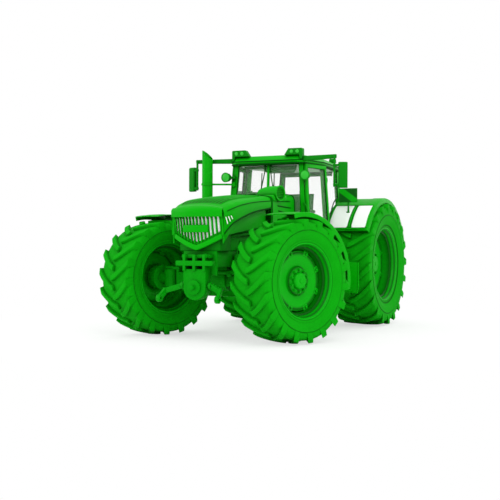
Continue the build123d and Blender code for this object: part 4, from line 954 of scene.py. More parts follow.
def make_mudguards():
    """Front mudguards: rolled sheet with a beaded lip and a raised rib, on a bent stay with bolts."""
    for side, word in ((1, "left"), (-1, "right")):
        r0, r1, h = 0.877, 0.887, 0.262
        outline = [(-h, r0), (-h + 0.004, r0), (-0.11, r0), (-0.10, r0 + 0.004), (0.10, r0 + 0.004),
                (0.11, r0), (h - 0.014, r0), (h - 0.014, r0 - 0.050), (h - 0.007, r0 - 0.056),
                (h, r0 - 0.050), (h, r1 - 0.006), (h - 0.006, r1), (0.12, r1), (0.105, r1 + 0.006),
                (-0.105, r1 + 0.006), (-0.12, r1), (-h + 0.006, r1), (-h, r1 - 0.004)]
        sheet = rolled("mudguard_sheet", [(side * y, r) for y, r in outline],
                (FRONT_AXLE_X, side * 1.1, FRONT_HUB_Z), 14, 112, 56)
        inner = side * (1.1 - 0.325 - 0.042)
        x, up = FRONT_AXLE_X - 0.190, (0.883 ** 2 - 0.190 ** 2) ** 0.5
        stay = pipe("mudguard_stay", [(x, side * 0.775, 0.808), (x, inner, 0.812), (x, inner, 1.2),
                (x, inner, FRONT_HUB_Z + up - 0.09), (x, inner + side * 0.02, FRONT_HUB_Z + up - 0.03),
                (x, inner + side * 0.09, FRONT_HUB_Z + up - 0.018),
                (x, side * 1.16, FRONT_HUB_Z + up - 0.018)], 0.021, True, 5)
        cross = pipe("mudguard_cross_stay", [(x - 0.02, inner, FRONT_HUB_Z + up - 0.2),
                (x - 0.30, inner + side * 0.03, FRONT_HUB_Z + 0.77),
                (x - 0.42, side * 1.05, FRONT_HUB_Z + 0.62)], 0.014, True, 4)
        foot = block("stay_foot", (x - 0.045, min(side * 0.735, side * 0.768), 0.775),
                (x + 0.045, max(side * 0.735, side * 0.768), 0.845), 0.006)
        bolts = []
        for dx in (-0.05, 0.05):
            for dy in (-0.12, 0.05):
                z = FRONT_HUB_Z + (0.895 ** 2 - (0.190 + dx) ** 2) ** 0.5
                bolts.append(round_bar("guard_bolt", (x - dx, side * (1.1 + dy), z - 0.006),
                        (x - dx, side * (1.1 + dy), z + 0.006), 0.011, 6, 0.001))
        piece = joined(f"mudguard_{word}_rolled", sheet, stay, cross, foot, *bolts)
        turn = Matrix.Translation((FRONT_AXLE_X, side * 0.8, 0)) @ Matrix.Rotation(radians(-20), 4,
                "Z") @ Matrix.Translation((-FRONT_AXLE_X, -side * 0.8, 0))
        piece.data.transform(turn)
        fitted(piece, f"knuckle_{word}", FINISH["enamel"], (f"mudguard_{word}",), 35)


def make_fenders():
    """Rear fenders: rolled sheet with an inner web, a rubber lip outside and a step along the crown."""
    cx, cz = JOINTS["spin_rear_left"]["pos_m"][0], 0.980
    r0, r1, y0, y1 = 1.035, 1.060, 0.600, 1.310
    pieces = []
    for side in (1, -1):
        outline = [(y0, r0 - 0.130), (y0 + 0.006, r0 - 0.134), (y0 + 0.012, r0 - 0.130),
                (y0 + 0.012, r0 - 0.006), (y0 + 0.020, r0), (y1 - 0.030, r0), (y1 - 0.016, r0 - 0.010),
                (y1 - 0.014, r0 - 0.060), (y1 - 0.007, r0 - 0.066), (y1, r0 - 0.060), (y1, r1 - 0.030),
                (y1 - 0.010, r1 - 0.010), (y1 - 0.030, r1 - 0.001), (y1 - 0.18, r1 - 0.001),
                (y1 - 0.19, r1 - 0.008), (y0 + 0.21, r1 - 0.008), (y0 + 0.20, r1 - 0.001),
                (y0 + 0.02, r1 - 0.001), (y0, r1 - 0.014)]
        sheet = rolled("fender_sheet", [(side * y, r) for y, r in outline], (cx, 0, cz), 60, 135, 72)
        lip = []
        for k in range(49):
            a = radians(60 - 135 * k / 48)
            lip.append((cx + (r0 - 0.050) * sin(a), side * (y1 - 0.006), cz + (r0 - 0.050) * cos(a)))
        pieces += [sheet, pipe("fender_lip", lip, 0.010, False, 3)]
        for k in range(15):  # screws along the outer flange
            a = radians(56 - 127 * k / 14)
            at = Vector((cx + (r0 - 0.020) * sin(a), side * y1, cz + (r0 - 0.020) * cos(a)))
            pieces.append(round_bar("fender_screw", at - Vector((0, side * 0.004, 0)),
                    at + Vector((0, side * 0.001, 0)), 0.009, 8))
    panels = []
    for side in (1, -1):  # two pale panels on the front slope, with a rib between them; their white is a painted highlight
        for ya, yb in ((0.665, 0.965), (1.035, 1.262)):
            def place(u, v, ya=ya, yb=yb, side=side):
                a = radians(57.5 - 27 * u)
                inset = 0.010 * max(0.0, (abs(v - 0.5) - 0.42) / 0.08) * (0 if u else 1)
                r = r1 + 0.003
                return Vector((cx + r * sin(a), side * (ya + inset + (yb - ya - 2 * inset) * v),
                        cz + r * cos(a)))
            panel = skin("fender_panel", 16, 6, place)
            apply_modifier(face_outwards(panel), "SOLIDIFY", thickness=0.006, offset=0)
            panels.append(round_edges(panel, 0.002))
        frame_lines = [[(57.5 - 27 * k / 12, y) for k in range(13)] for y in (0.655, 1.000, 1.272)]
        frame_lines += [[(a, 0.655 + (1.272 - 0.655) * k / 4) for k in range(5)] for a in (58.5, 29.5)]
        for line in frame_lines:
            path = [(cx + (r1 + 0.002) * sin(radians(a)), side * y, cz + (r1 + 0.002) * cos(radians(a)))
                    for a, y in line]
            pieces.append(pipe("panel_rib", path, 0.011, False, 3))
    fitted(joined("fender_pale_panels", *panels), "chassis", FINISH["pale"])
    return fitted(joined("rear_fenders_rolled", *pieces), "chassis", FINISH["enamel"],
            ("rear_fenders",), 35)


# ---------------------------------------------------------------- stack, intake, mirrors, lamps, boards
def make_exhaust():
    """Stack: silencer with a slotted heat shield, pipe cut on the slant, clamps, and its stay."""
    x, y = 0.400, -0.925
    pieces = [turned("silencer", [(1.030, 0.0), (1.030, 0.060), (1.045, 0.082), (1.075, 0.088),
            (1.800, 0.088), (1.835, 0.080), (1.850, 0.076), (1.850, 0.0)], (x, y, 0), (0, 0, 1), 48)]
    tip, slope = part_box("exhaust")[1].z, radians(42)
    tube = [(1.840, 0.0820), (tip + 0.1, 0.0820), (tip + 0.1, 0.0785), (2.40, 0.0785), (2.40, 0.0),
            (1.840, 0.0)]
    upper = turned("upper_pipe", tube, (x, y, 0), (0, 0, 1), 56)
    open_edit(upper)
    bpy.ops.mesh.bisect(plane_co=(x, y - 0.082, tip), plane_no=(0, sin(slope), cos(slope)), use_fill=True,
            clear_outer=True)
    close_edit()
    pieces.append(upper)
    for z in (1.10, 1.845, 2.20):
        pieces.append(turned(f"clamp_{z}", [(z - 0.014, 0.080), (z - 0.014, 0.093), (z + 0.014, 0.093),
                (z + 0.014, 0.080)], (x, y, 0), (0, 0, 1), 40))
    for row in range(9):  # slots of the heat shield, as raised pressings
        for k in range(10):
            a = 2 * pi * k / 10 + (0.5 * 2 * pi / 10 if row % 2 else 0)
            z = 1.18 + 0.066 * row
            out = Vector((cos(a), sin(a), 0))
            at = Vector((x, y, z)) + out * 0.088
            pieces.append(round_bar("shield_slot", at - Vector((0, 0, 0.020)), at + Vector((0, 0, 0.020)),
                    0.0065, 8, 0.002))
    arm = pipe("exhaust_stay", [(x - 0.02, y + 0.06, 2.2), (0.300, -0.700, 2.2), (0.214, -0.545, 2.2)],
            0.014, False, 4)
    foot = block("stay_foot", (0.165, -0.585, 2.165), (0.240, -0.540, 2.235), 0.006)
    pieces += [arm, foot]
    return fitted(joined("exhaust_stack_with_shield", *pieces), "chassis", FINISH["enamel"],
            ("exhaust",), 35)


def make_intake():
    """Air intake: a smooth duct out of the hood, ending in a round mouth with a rolled rim and vanes."""
    mouth = Vector((0.845, 0.500, 2.010))
    duct = pipe("intake_duct", [(0.72, 0.16, 1.985), (0.74, 0.24, 2.01), (0.79, 0.34, 2.020),
            (0.83, 0.43, 2.012), tuple(mouth - Vector((0.004, 0.02, 0)))], 0.100, True, 10)
    for vertex in duct.data.vertices:  # lower and wider than a pipe
        vertex.co.z = 2.005 + (vertex.co.z - 2.005) * 1.04
    out = Vector((0.25, 1, 0)).normalized()
    rim = turned("intake_rim", [(-0.03, 0.098), (0.0, 0.112), (0.012, 0.112), (0.016, 0.104),
            (0.010, 0.088), (-0.02, 0.084)], mouth, out, 48)
    vanes = []
    for k in range(7):
        dz = 0.024 * (k - 3)
        wide = (0.086 ** 2 - dz ** 2) ** 0.5
        across = out.cross(Vector((0, 0, 1)))
        a, b = mouth + across * wide + Vector((0, 0, dz)), mouth - across * wide + Vector((0, 0, dz))
        vanes.append(pipe("intake_vane", [tuple(a), tuple(b)], 0.005, False, 2))
    base = block("intake_base", (0.540, 0.255, 1.890), (0.990, 0.470, 1.985), 0.030, 3)
    lid = block("intake_lid", (0.560, 0.270, 1.975), (0.800, 0.450, 2.100), 0.045, 4)
    return fitted(joined("air_intake_duct", duct, rim, *vanes, base, lid), "chassis",
            FINISH["enamel"], ("air_intake",), 40)


HEAD_Z, ROOF_Z = (corner.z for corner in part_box("cab_roof"))


def make_mirrors():
    """Mirrors: housings turned towards the driver, on posts and arms from the roof, glass facing back."""
    x, y, low, high = 0.350, 1.130, HEAD_Z - 0.390, HEAD_Z - 0.015
    turn = Matrix.Translation((x, y, 0)) @ Matrix.Rotation(radians(23), 4,
            "Z") @ Matrix.Translation((-x, -y, 0))
    post = round_bar("mirror_post", (x, y, low + 0.015), (x, y, HEAD_Z + 0.074), 0.017, 24, 0.003)
    shell = block("mirror_housing", (x - 0.024, y + 0.056, low), (x + 0.030, y + 0.189, high), 0.022, 4)
    rim = block("mirror_frame", (x - 0.030, y + 0.055, low + 0.001), (x - 0.016, y + 0.190, high - 0.001),
            0.006, 2)
    ties = [block("mirror_tie", (x - 0.018, y - 0.020, z), (x + 0.018, y + 0.080, z + 0.036), 0.008, 2)
            for z in (low + 0.030, high - 0.066)]
    bolts = [round_bar("tie_bolt", (x + 0.016, y + 0.012, z + 0.018), (x + 0.026, y + 0.012, z + 0.018),
            0.009, 6) for z in (low + 0.030, high - 0.066)]
    head = joined("mirror_head", post, shell, rim, *ties, *bolts)
    head.data.transform(turn)
    foot_x, foot_y, z0, z1 = 0.222, 0.575, HEAD_Z + 0.028, HEAD_Z + 0.104
    arm = plate("mirror_arm", [(x + 0.006, y + 0.024, z0 + 0.008), (x + 0.006, y + 0.024, z1 - 0.008),
            (foot_x, foot_y, z1), (foot_x, foot_y, z0)], (-0.029, 0.007, 0), 0.012, 3)
    glass = block("mirror_glass", (x - 0.0325, y + 0.066, low + 0.012),
            (x - 0.0300, y + 0.180, high - 0.012), 0.001, 1)
    glass.data.transform(turn)
    fitted(both_sides(glass, "mirror_glasses"), "chassis", FINISH["mirror"])
    return fitted(both_sides(joined("mirror_left", head, arm), "mirrors_on_arms"), "chassis",
            FINISH["plastic"], ("mirrors",), 35)


def lamp_face(name, centre, out, radius, deep=0.06):
    """A round work lamp: finned body, bezel, dished reflector and a ribbed clear cover."""
    centre, out = Vector(centre), Vector(out).normalized()
    body = turned(name + "_body", [(-deep, 0.0), (-deep, radius * 0.62), (-deep * 0.55, radius * 0.92),
            (-0.012, radius * 0.96), (-0.010, radius * 1.04), (0.006, radius * 1.06),
            (0.008, radius * 0.94), (-0.004, radius * 0.90), (-0.030, radius * 0.55), (-0.034, 0.0)],
            centre, out, 40)
    cover = turned(name + "_cover", [(-0.002, 0.0), (-0.002, radius * 0.93), (0.003, radius * 0.93),
            (0.009, radius * 0.6), (0.011, 0.0)], centre, out, 40)
    return body, cover


def make_lamps():
    """Work lamps: twin pods on the roof's front, round ones at the front pillars, single ones behind."""
    bodies, covers = [], []
    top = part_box("work_lamps")[1].z
    for side in (1, -1):
        profile = [(0.290, ROOF_Z - 0.004), (0.355, top), (0.569, top), (0.581, top - 0.012),
                (0.581, ROOF_Z - 0.070), (0.545, ROOF_Z - 0.070), (0.530, ROOF_Z - 0.004)]
        pod = plate("lamp_pod", [(0.160, side * y, z) for y, z in profile], (0.094, 0, 0), 0.008, 3)
        hood = plate("lamp_hood", [(0.236, side * y, z) for y,
                z in ((0.352, top - 0.006), (0.570, top - 0.006), (0.570, top), (0.352, top))],
                (0.020, 0, 0), 0.002)
        bodies += [pod, hood]
        for y in (0.410, 0.505):
            body, cover = lamp_face("roof_lamp", (0.2515, side * y, ROOF_Z + 0.044), (1, 0, -0.04), 0.034,
                    0.03)
            bodies.append(body)
            covers.append(cover)
        z = HEAD_Z - 0.185
        body, cover = lamp_face("pillar_lamp", (0.318, side * 0.655, z), (1, side * 0.04, -0.03), 0.070,
                0.115)
        bracket = block("pillar_lamp_arm", (0.180, min(side * 0.535, side * 0.610), z - 0.018),
                (0.262, max(side * 0.535, side * 0.610), z + 0.018), 0.005)
        bodies += [body, bracket]
        covers.append(cover)
        rear = plate("rear_lamp_pod", [(-1.368, side * 0.384, ROOF_Z), (-1.368, side * 0.500, ROOF_Z),
                (-1.368, side * 0.490, ROOF_Z + 0.068), (-1.368, side * 0.394, ROOF_Z + 0.068)],
                (0.068, 0, 0), 0.010, 3)
        body, cover = lamp_face("rear_roof_lamp", (-1.359, side * 0.442, ROOF_Z + 0.036), (-1, 0, -0.1),
                0.028, 0.03)
        bodies += [rear, body]
        covers.append(cover)
    fitted(joined("lamp_covers", *covers), "chassis", FINISH["lens"])
    return fitted(joined("work_lamp_bodies", *bodies), "chassis", FINISH["plastic"],
            ("work_lamps",), 35)


def make_boards():
    """Width boards with slanting reflective stripes, folded rims and tube stalks."""
    low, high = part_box("marker_boards")
    boards, stalks = [], []
    for side in (1, -1):
        y0, y1 = sorted((side * 0.754, side * 1.060))
        z0, z1 = high.z - 0.220, high.z
        face = block("board_face", (-0.8085, y0 + 0.008, z0 + 0.008), (-0.800, y1 - 0.008, z1 - 0.008),
                0.002, 1)
        boards.append(face)
        tray = block("board_tray", (-0.813, y0, z0), (-0.806, y1, z1), 0.003)
        stalks.append(tray)
        y = side * BOARD_Y
        stalks.append(pipe("board_stalk", [(-0.827, y, low.z + 0.002), (-0.827, y, low.z + 0.06),
                (-0.827, y, z0 + 0.14)], 0.014, False, 4))
        stalks.append(round_bar("board_foot", (-0.827, y, low.z - 0.004), (-0.827, y, low.z + 0.018), 0.034,
                24, 0.004))
    fitted(joined("board_faces", *boards), "chassis", FINISH["stripes"])
    return fitted(joined("marker_board_stalks", *stalks), "chassis", FINISH["plastic"],
            ("marker_boards",), 35)


# ---------------------------------------------------------------- cab
SILL, HALF_A, HALF_B, HALF_C, LEAN = 1.150, 0.655, 0.755, 0.600, 0.100
POST_A, POST_B, POST_C = (0.240, 0.180), (-0.400, -0.400), (-1.390, -1.350)  # x at the sill and at the head


def rise(z):
    """Share of the way from the sill to the roof at height z."""
    return (z - SILL) / (HEAD_Z - SILL)


def wall_y(x, z, door=False):
    """Half width of the glass house at x and z."""
    if door or x > POST_B[0]:
        half = HALF_B + (HALF_A - HALF_B) * (x - POST_B[0]) / (POST_A[0] - POST_B[0])
    else:
        half = HALF_B + (HALF_C - HALF_B) * (POST_B[0] - x) / (POST_B[0] - POST_C[0])
    return half - LEAN * rise(z)


def post_x(post, z):
    """Where a post stands along the cab at height z."""
    return post[0] + (post[1] - post[0]) * rise(z)


def loop_seal(name, corners, radius):
    """A seal that runs round a pane's edge."""
    return pipe(name, [tuple(c) for c in corners] + [tuple(corners[0])], radius, False, 3)


def make_seals():
    """Rubber seals round every pane and the door glass, and the windscreen's middle post."""
    low, high = 1.750, HEAD_Z - 0.006
    fixed = []
    front = [(post_x(POST_A, z) - 0.014, side * (wall_y(post_x(POST_A, z), z) - 0.066), z)
             for side, z in ((1, low), (1, high), (-1, high), (-1, low))]
    back = [(post_x(POST_C, z) - 0.066, side * (wall_y(post_x(POST_C, z), z) - 0.066), z)
            for side, z in ((1, 1.606), (1, high), (-1, high), (-1, 1.606))]
    fixed += [loop_seal("windscreen_seal", front, 0.010), loop_seal("rear_window_seal", back, 0.010)]
    radius = 1.080
    arc = [(-1.5 + radius * sin(radians(a)), 0.98 + radius * cos(radians(a)))
            for a in (65, 56, 46, 36, 26, 17, 9)]
    quarter = [(-0.482, arc[0][1])] + arc + [(post_x(POST_C, high) + 0.006, high), (-0.482, high)]
    for side in (1, -1):
        fixed.append(loop_seal("quarter_seal", [(x, side * (wall_y(x, z) - 0.016), z) for x, z in quarter],
                0.009))
        z0, z1 = SILL + 0.060, HEAD_Z - 0.060
        pane = [(post_x(POST_A, z0) - 0.067, z0), (post_x(POST_A, z1) - 0.067, z1), (-0.357, z1),
                (-0.357, z0)]
        word = "left" if side > 0 else "right"
        loop = [(x, side * (wall_y(x, z, True) + 0.032), z) for x, z in pane]
        fitted(loop_seal(f"door_glass_seal_{word}", loop, 0.010), f"door_{word}", FINISH["seal"],
                (), 35)
    fitted(joined("pane_seals", *fixed), "chassis", FINISH["seal"])
    post = plate("windscreen_middle_post", [(post_x(POST_A, z) + dx, -0.020, z) for z,
            dx in ((1.752, -0.024), (high, -0.024), (high, 0.002), (1.752, 0.002))], (0, 0.040, 0), 0.006,
            3)
    fitted(post, "chassis", FINISH["enamel"])


def make_roof_trim():
    """Rain gutter and dark seam round the roof, and a shallow hatch with a rolled rim on top."""
    corners = [(-1.440, 0.536), (-0.400, 0.685), (0.200, 0.619), (0.276, 0.500)]
    ring = corners + [(x, -y) for x, y in reversed(corners)]
    seam = loop_seal("roof_seam", [(x, y, HEAD_Z + 0.047) for x, y in ring], 0.0085)
    lower = loop_seal("roof_lower_seam", [(x * 0.996 - 0.002, y * 0.975, HEAD_Z + 0.004) for x, y in ring],
            0.010)
    fitted(joined("roof_seams", seam, lower), "chassis", FINISH["seal"])
    lid = block("roof_hatch", (-1.050, -0.320, ROOF_Z - 0.010), (-0.420, 0.320, ROOF_Z + 0.022), 0.016, 3)
    rim = loop_seal("hatch_rim", [(x, y, ROOF_Z + 0.006) for x,
            y in ((-1.066, -0.336), (-0.404, -0.336), (-0.404, 0.336), (-1.066, 0.336))], 0.011)
    ribs = [block("hatch_rib", (-1.000, y - 0.012, ROOF_Z + 0.014), (-0.470, y + 0.012, ROOF_Z + 0.030),
            0.006) for y in (-0.2, -0.1, 0.0, 0.1, 0.2)]
    fitted(joined("roof_hatch", lid, rim, *ribs), "chassis", FINISH["enamel"])


def make_wiper():
    """Windscreen wipers: blades beside the middle post, each on a bent arm from a spindle under the roof."""
    pieces = []
    for y, foot in ((-0.105, -0.045), (0.100, 0.045)):
        def on_pane(across, z, out):
            return (post_x(POST_A, z) - 0.014 + out, across, z)
        pieces.append(pipe("wiper_blade", [on_pane(y, z, 0.010) for z in (2.36, 2.10, 1.86)], 0.0075, False,
                3))
        pieces.append(pipe("wiper_bow", [on_pane(y, 2.24, 0.014), on_pane(y, 2.16, 0.030),
                on_pane(y, 2.06, 0.030), on_pane(y, 1.98, 0.014)], 0.005, True, 3))
        pieces.append(pipe("wiper_arm", [on_pane(foot, HEAD_Z - 0.03, 0.020), on_pane(foot, 2.36, 0.032),
                on_pane(y, 2.11, 0.032)], 0.008, True, 3))
        at = Vector(on_pane(foot, HEAD_Z - 0.03, 0.0))
        pieces.append(round_bar("wiper_spindle", at, at + Vector((0.034, 0, 0)), 0.016, 20, 0.003))
    fitted(joined("windscreen_wipers", *pieces), "chassis", FINISH["seal"])


def make_ceiling():
    """Ceiling of the cab: lining, header rails, an overhead console and a sun blind."""
    lining = plate("cab_lining", [(0.120, -0.500, HEAD_Z - 0.004), (0.120, 0.500, HEAD_Z - 0.004),
            (-0.40, 0.600, HEAD_Z - 0.004), (-1.290, 0.480, HEAD_Z - 0.004),
            (-1.290, -0.480, HEAD_Z - 0.004), (-0.40, -0.600, HEAD_Z - 0.004)], (0, 0, -0.012), 0.004)
    fitted(lining, "chassis", FINISH["lining"])
    rail = plate("rear_header", [(-1.345, -0.440, HEAD_Z - 0.004), (-1.305, -0.440, HEAD_Z - 0.004),
            (-1.300, -0.440, HEAD_Z - 0.075), (-1.335, -0.440, HEAD_Z - 0.085)], (0, 0.880, 0), 0.008)
    console = plate("overhead_console", [(-0.060, -0.210, HEAD_Z - 0.016), (-0.110, -0.210, HEAD_Z - 0.088),
            (-0.330, -0.210, HEAD_Z - 0.096), (-0.420, -0.210, HEAD_Z - 0.016)], (0, 0.420, 0), 0.014, 3)
    knobs = [round_bar("vent", (-0.100, y, HEAD_Z - 0.052), (-0.088, y, HEAD_Z - 0.046), 0.024, 24, 0.003)
            for y in (-0.15, -0.05, 0.05, 0.15)]
    blind = round_bar("blind_roller", (0.110, -0.430, HEAD_Z - 0.036), (0.110, 0.430, HEAD_Z - 0.036),
            0.022, 24, 0.004)
    fitted(joined("ceiling_fittings", rail, console, blind, *knobs), "chassis", FINISH["plastic"])


PAD_CAP = 0.026  # metres that a point of a cushion may swell
SEAM_WIDTH = 0.007


def swollen(piece, held):
    """Turns a closed shape into a filled cushion: cloth blown up from inside, held along its seams."""
    apply_modifier(piece, "REMESH", mode="VOXEL", voxel_size=0.006)
    start = [v.co.copy() for v in piece.data.vertices]
    group = piece.vertex_groups.new(name="seams")
    group.add([v.index for v in piece.data.vertices if held(v.co)], 1.0, "REPLACE")
    choose(piece)
    bpy.ops.object.modifier_add(type="CLOTH")
    cloth = piece.modifiers[-1]
    cloth.settings.use_pressure = True
    cloth.settings.uniform_pressure_force = 4.0
    cloth.settings.vertex_group_mass = "seams"
    cloth.settings.effector_weights.gravity = 0.0
    for step in range(1, 21):
        bpy.context.scene.frame_set(step)
    bpy.ops.object.modifier_apply(modifier=cloth.name)
    bpy.context.scene.frame_set(1)
    for vertex, origin in zip(piece.data.vertices, start):
        move = vertex.co - origin
        if move.length > PAD_CAP:
            vertex.co = origin + move * (PAD_CAP / move.length)
    piece.vertex_groups.clear()
    return piece


def make_seat():
    """Driver's seat: swollen cushion and back with sewn channels and piping, tray, bellows and arm rests."""
    x, z = -0.700, 1.320
    body = []
    for k in range(5):  # rubber bellows of the suspension
        wide = 0.184 - 0.016 * (k % 2)
        body.append(block("seat_bellows", (x - wide - 0.010, -wide, z + 0.004 + 0.028 * k),
                (x + wide + 0.010, wide, z + 0.038 + 0.028 * k), 0.012, 3))
    tray = block("seat_tray", (x - 0.245, -0.245, z + 0.142), (x + 0.250, 0.245, z + 0.166), 0.010, 3)
    shell = plate("seat_shell", [(x - 0.250, -0.225, z + 0.160), (x - 0.290, -0.225, z + 0.190),
            (x - 0.380, -0.225, z + 0.785), (x - 0.362, -0.225, z + 0.790), (x - 0.262, -0.225, z + 0.200),
            (x - 0.240, -0.225, z + 0.170)], (0, 0.450, 0), 0.006)
    body += [tray, shell]
    for side in (1, -1):
        body.append(block("arm_rest", (x - 0.200, side * 0.295 - 0.032, z + 0.470),
                (x + 0.120, side * 0.295 + 0.032, z + 0.520), 0.020, 4))
        body.append(pipe("arm_stay", [(x - 0.300, side * 0.236, z + 0.30),
                (x - 0.270, side * 0.262, z + 0.38), (x - 0.180, side * 0.290, z + 0.478)], 0.014, True, 4))
    fitted(joined("seat_frame_and_bellows", *body), "chassis", FINISH["plastic"])

    pan = block("seat_cushion", (x - 0.228, -0.228, z + 0.176), (x + 0.238, 0.228, z + 0.252), 0.024, 3)
    middle = z + 0.205

    def pan_seams(co):
        channel = co.z > z + 0.225 and (abs(abs(co.y) - 0.135) < SEAM_WIDTH
                or (abs(co.y) < 0.135 and min(abs(co.x - x - 0.10), abs(co.x - x + 0.05)) < SEAM_WIDTH))
        return channel or abs(co.z - middle) < 0.006 or co.z < z + 0.180

    swollen(pan, pan_seams)

    def lean(t):
        """Where the back rest's front stands, t above the cushion."""
        return x - 0.190 - 0.100 * t / 0.54

    back = plate("seat_back_rest", [(lean(0.02) - 0.022, -0.216, z + 0.290),
            (lean(0.50) - 0.022, -0.216, z + 0.770), (lean(0.50) - 0.072, -0.216, z + 0.758),
            (lean(0.02) - 0.072, -0.216, z + 0.280)], (0, 0.432, 0), 0.022, 3)

    def back_seams(co):
        depth = lean(co.z - z - 0.27) - co.x  # 22 mm on its front, 72 mm behind
        up = co.z - z
        channel = depth < 0.040 and (abs(abs(co.y) - 0.125) < SEAM_WIDTH
                or (abs(co.y) < 0.125 and min(abs(up - h) for h in (0.39, 0.50, 0.61)) < SEAM_WIDTH))
        return channel or abs(depth - 0.047) < 0.006 or depth > 0.066

    swollen(back, back_seams)
    for piece in (pan, back):
        fitted(piece, "chassis", FINISH["fabric"], ("seat",), 60)
    rim = [(x - 0.228, -0.228), (x + 0.238, -0.228), (x + 0.238, 0.228), (x - 0.228, 0.228)]
    ring = []
    for k, (px, py) in enumerate(rim):  # piping with rounded corners round the cushion
        before, after = Vector(rim[k - 1]), Vector(rim[(k + 1) % 4])
        corner = Vector((px, py))
        for t in (0.0, 0.35, 0.65, 1.0):
            a, b = corner + (before - corner).normalized() * 0.024, corner + (after
                    - corner).normalized() * 0.024
            q = a * (1 - t) ** 2 + corner * 2 * t * (1 - t) + b * t ** 2
            ring.append((q.x, q.y, middle))
    piping = pipe("seat_piping", ring + ring[:1], 0.0055, False, 3)
    fitted(piping, "chassis", FINISH["seal"])


def make_controls():
    """Controls beside the seat: joystick, levers, screen on its arm, and the steering column's stalks."""
    x = -0.700
    pieces = []
    arm = block("control_arm", (x - 0.140, -0.395, 1.830), (x + 0.300, -0.275, 1.885), 0.022, 4)
    stick = pipe("joystick", [(x + 0.220, -0.335, 1.880), (x + 0.240, -0.335, 1.930),
            (x + 0.235, -0.335, 1.980)], 0.014, True, 5)
    grip = turned("joystick_grip", [(0.0, 0.0), (0.004, 0.020), (0.030, 0.026), (0.060, 0.024),
            (0.085, 0.030), (0.100, 0.022), (0.104, 0.0)], (x + 0.236, -0.335, 1.962), (0.1, 0, 1), 24)
    pieces += [arm, stick, grip]
    for k in range(4):
        at = Vector((x + 0.060 + 0.045 * k, -0.365, 1.880))
        pieces.append(round_bar("small_lever", at, at + Vector((0.010, 0, 0.050)), 0.005, 12))
        pieces.append(turned("lever_knob", [(-0.012, 0.0), (-0.008, 0.009), (0.002, 0.012), (0.010, 0.009),
                (0.013, 0.0)], at + Vector((0.011, 0, 0.056)), (0.1, 0, 1), 16))
    screen_turn = Matrix.Translation((-0.240, -0.460, 2.020)) @ Matrix.Rotation(radians(28), 4,
            "Z") @ Matrix.Rotation(radians(-12), 4, "Y")
    case = block("screen_case", (-0.022, -0.120, -0.085), (0.022, 0.120, 0.085), 0.014, 3)
    face = block("screen_face", (-0.0245, -0.102, -0.066), (-0.020, 0.102, 0.070), 0.002, 1)
    hood = plate("screen_hood", [(-0.060, -0.118, 0.092), (-0.060, 0.118, 0.092), (0.020, 0.118, 0.080),
            (0.020, -0.118, 0.080)], (0, 0, 0.006), 0.002)
    for piece in (case, face, hood):
        piece.data.transform(screen_turn)
    pieces += [case, hood]
    pieces.append(pipe("screen_arm", [(-0.225, -0.470, 2.010), (-0.170, -0.520, 1.960),
            (-0.150, -0.560, 1.820), (-0.150, -0.575, 1.660)], 0.013, True, 5))
    fitted(face, "chassis", FINISH["seal"])
    for side, lift in ((1, 0.02), (-1, 0.0)):  # stalks under the steering wheel
        pieces.append(pipe("column_stalk", [(-0.085, side * 0.030, 1.905),
                (-0.110, side * 0.110, 1.930 + lift), (-0.125, side * 0.165, 1.945 + lift)], 0.007, True,
                4))
    # grab rail on the left front pillar
    pieces.append(pipe("pillar_grab_rail", [(0.165, 0.540, 1.62), (0.115, 0.520, 1.66),
            (0.105, 0.505, 1.85), (0.108, 0.495, 2.02), (0.150, 0.510, 2.08)], 0.012, True, 5))
    fitted(joined("driver_controls", *pieces), "chassis", FINISH["plastic"])


def make_door_fittings():
    """On each door: the outer handle on its plate, and a grab handle inside."""
    for side, word in ((1, "left"), (-1, "right")):
        def at(px, pz, out):
            return (px, side * (wall_y(px, pz, True) + out), pz)
        pieces = []
        hx = 0.085
        recess = block("handle_plate", (hx - 0.060, 0, -0.030), (hx + 0.060, 0.008, 0.030), 0.004)
        recess.data.transform(Matrix.Translation((0, side * (wall_y(hx, 1.49, True) + 0.040)
                - (0.008 if side < 0 else 0), 1.49)))
        pieces.append(recess)
        pieces.append(pipe("outer_handle", [at(hx - 0.045, 1.485, 0.044), at(hx - 0.045, 1.488, 0.068),
                at(hx + 0.045, 1.494, 0.068), at(hx + 0.045, 1.497, 0.044)], 0.008, True, 4))
        pieces.append(pipe("inner_handle", [at(-0.300, 1.30, 0.012), at(-0.290, 1.34, -0.030),
                at(-0.180, 1.42, -0.040), at(-0.060, 1.44, -0.040), at(-0.020, 1.44, 0.010)], 0.010, True,
                4))
        fitted(joined(f"door_fittings_{word}", *pieces), f"door_{word}", FINISH["seal"])


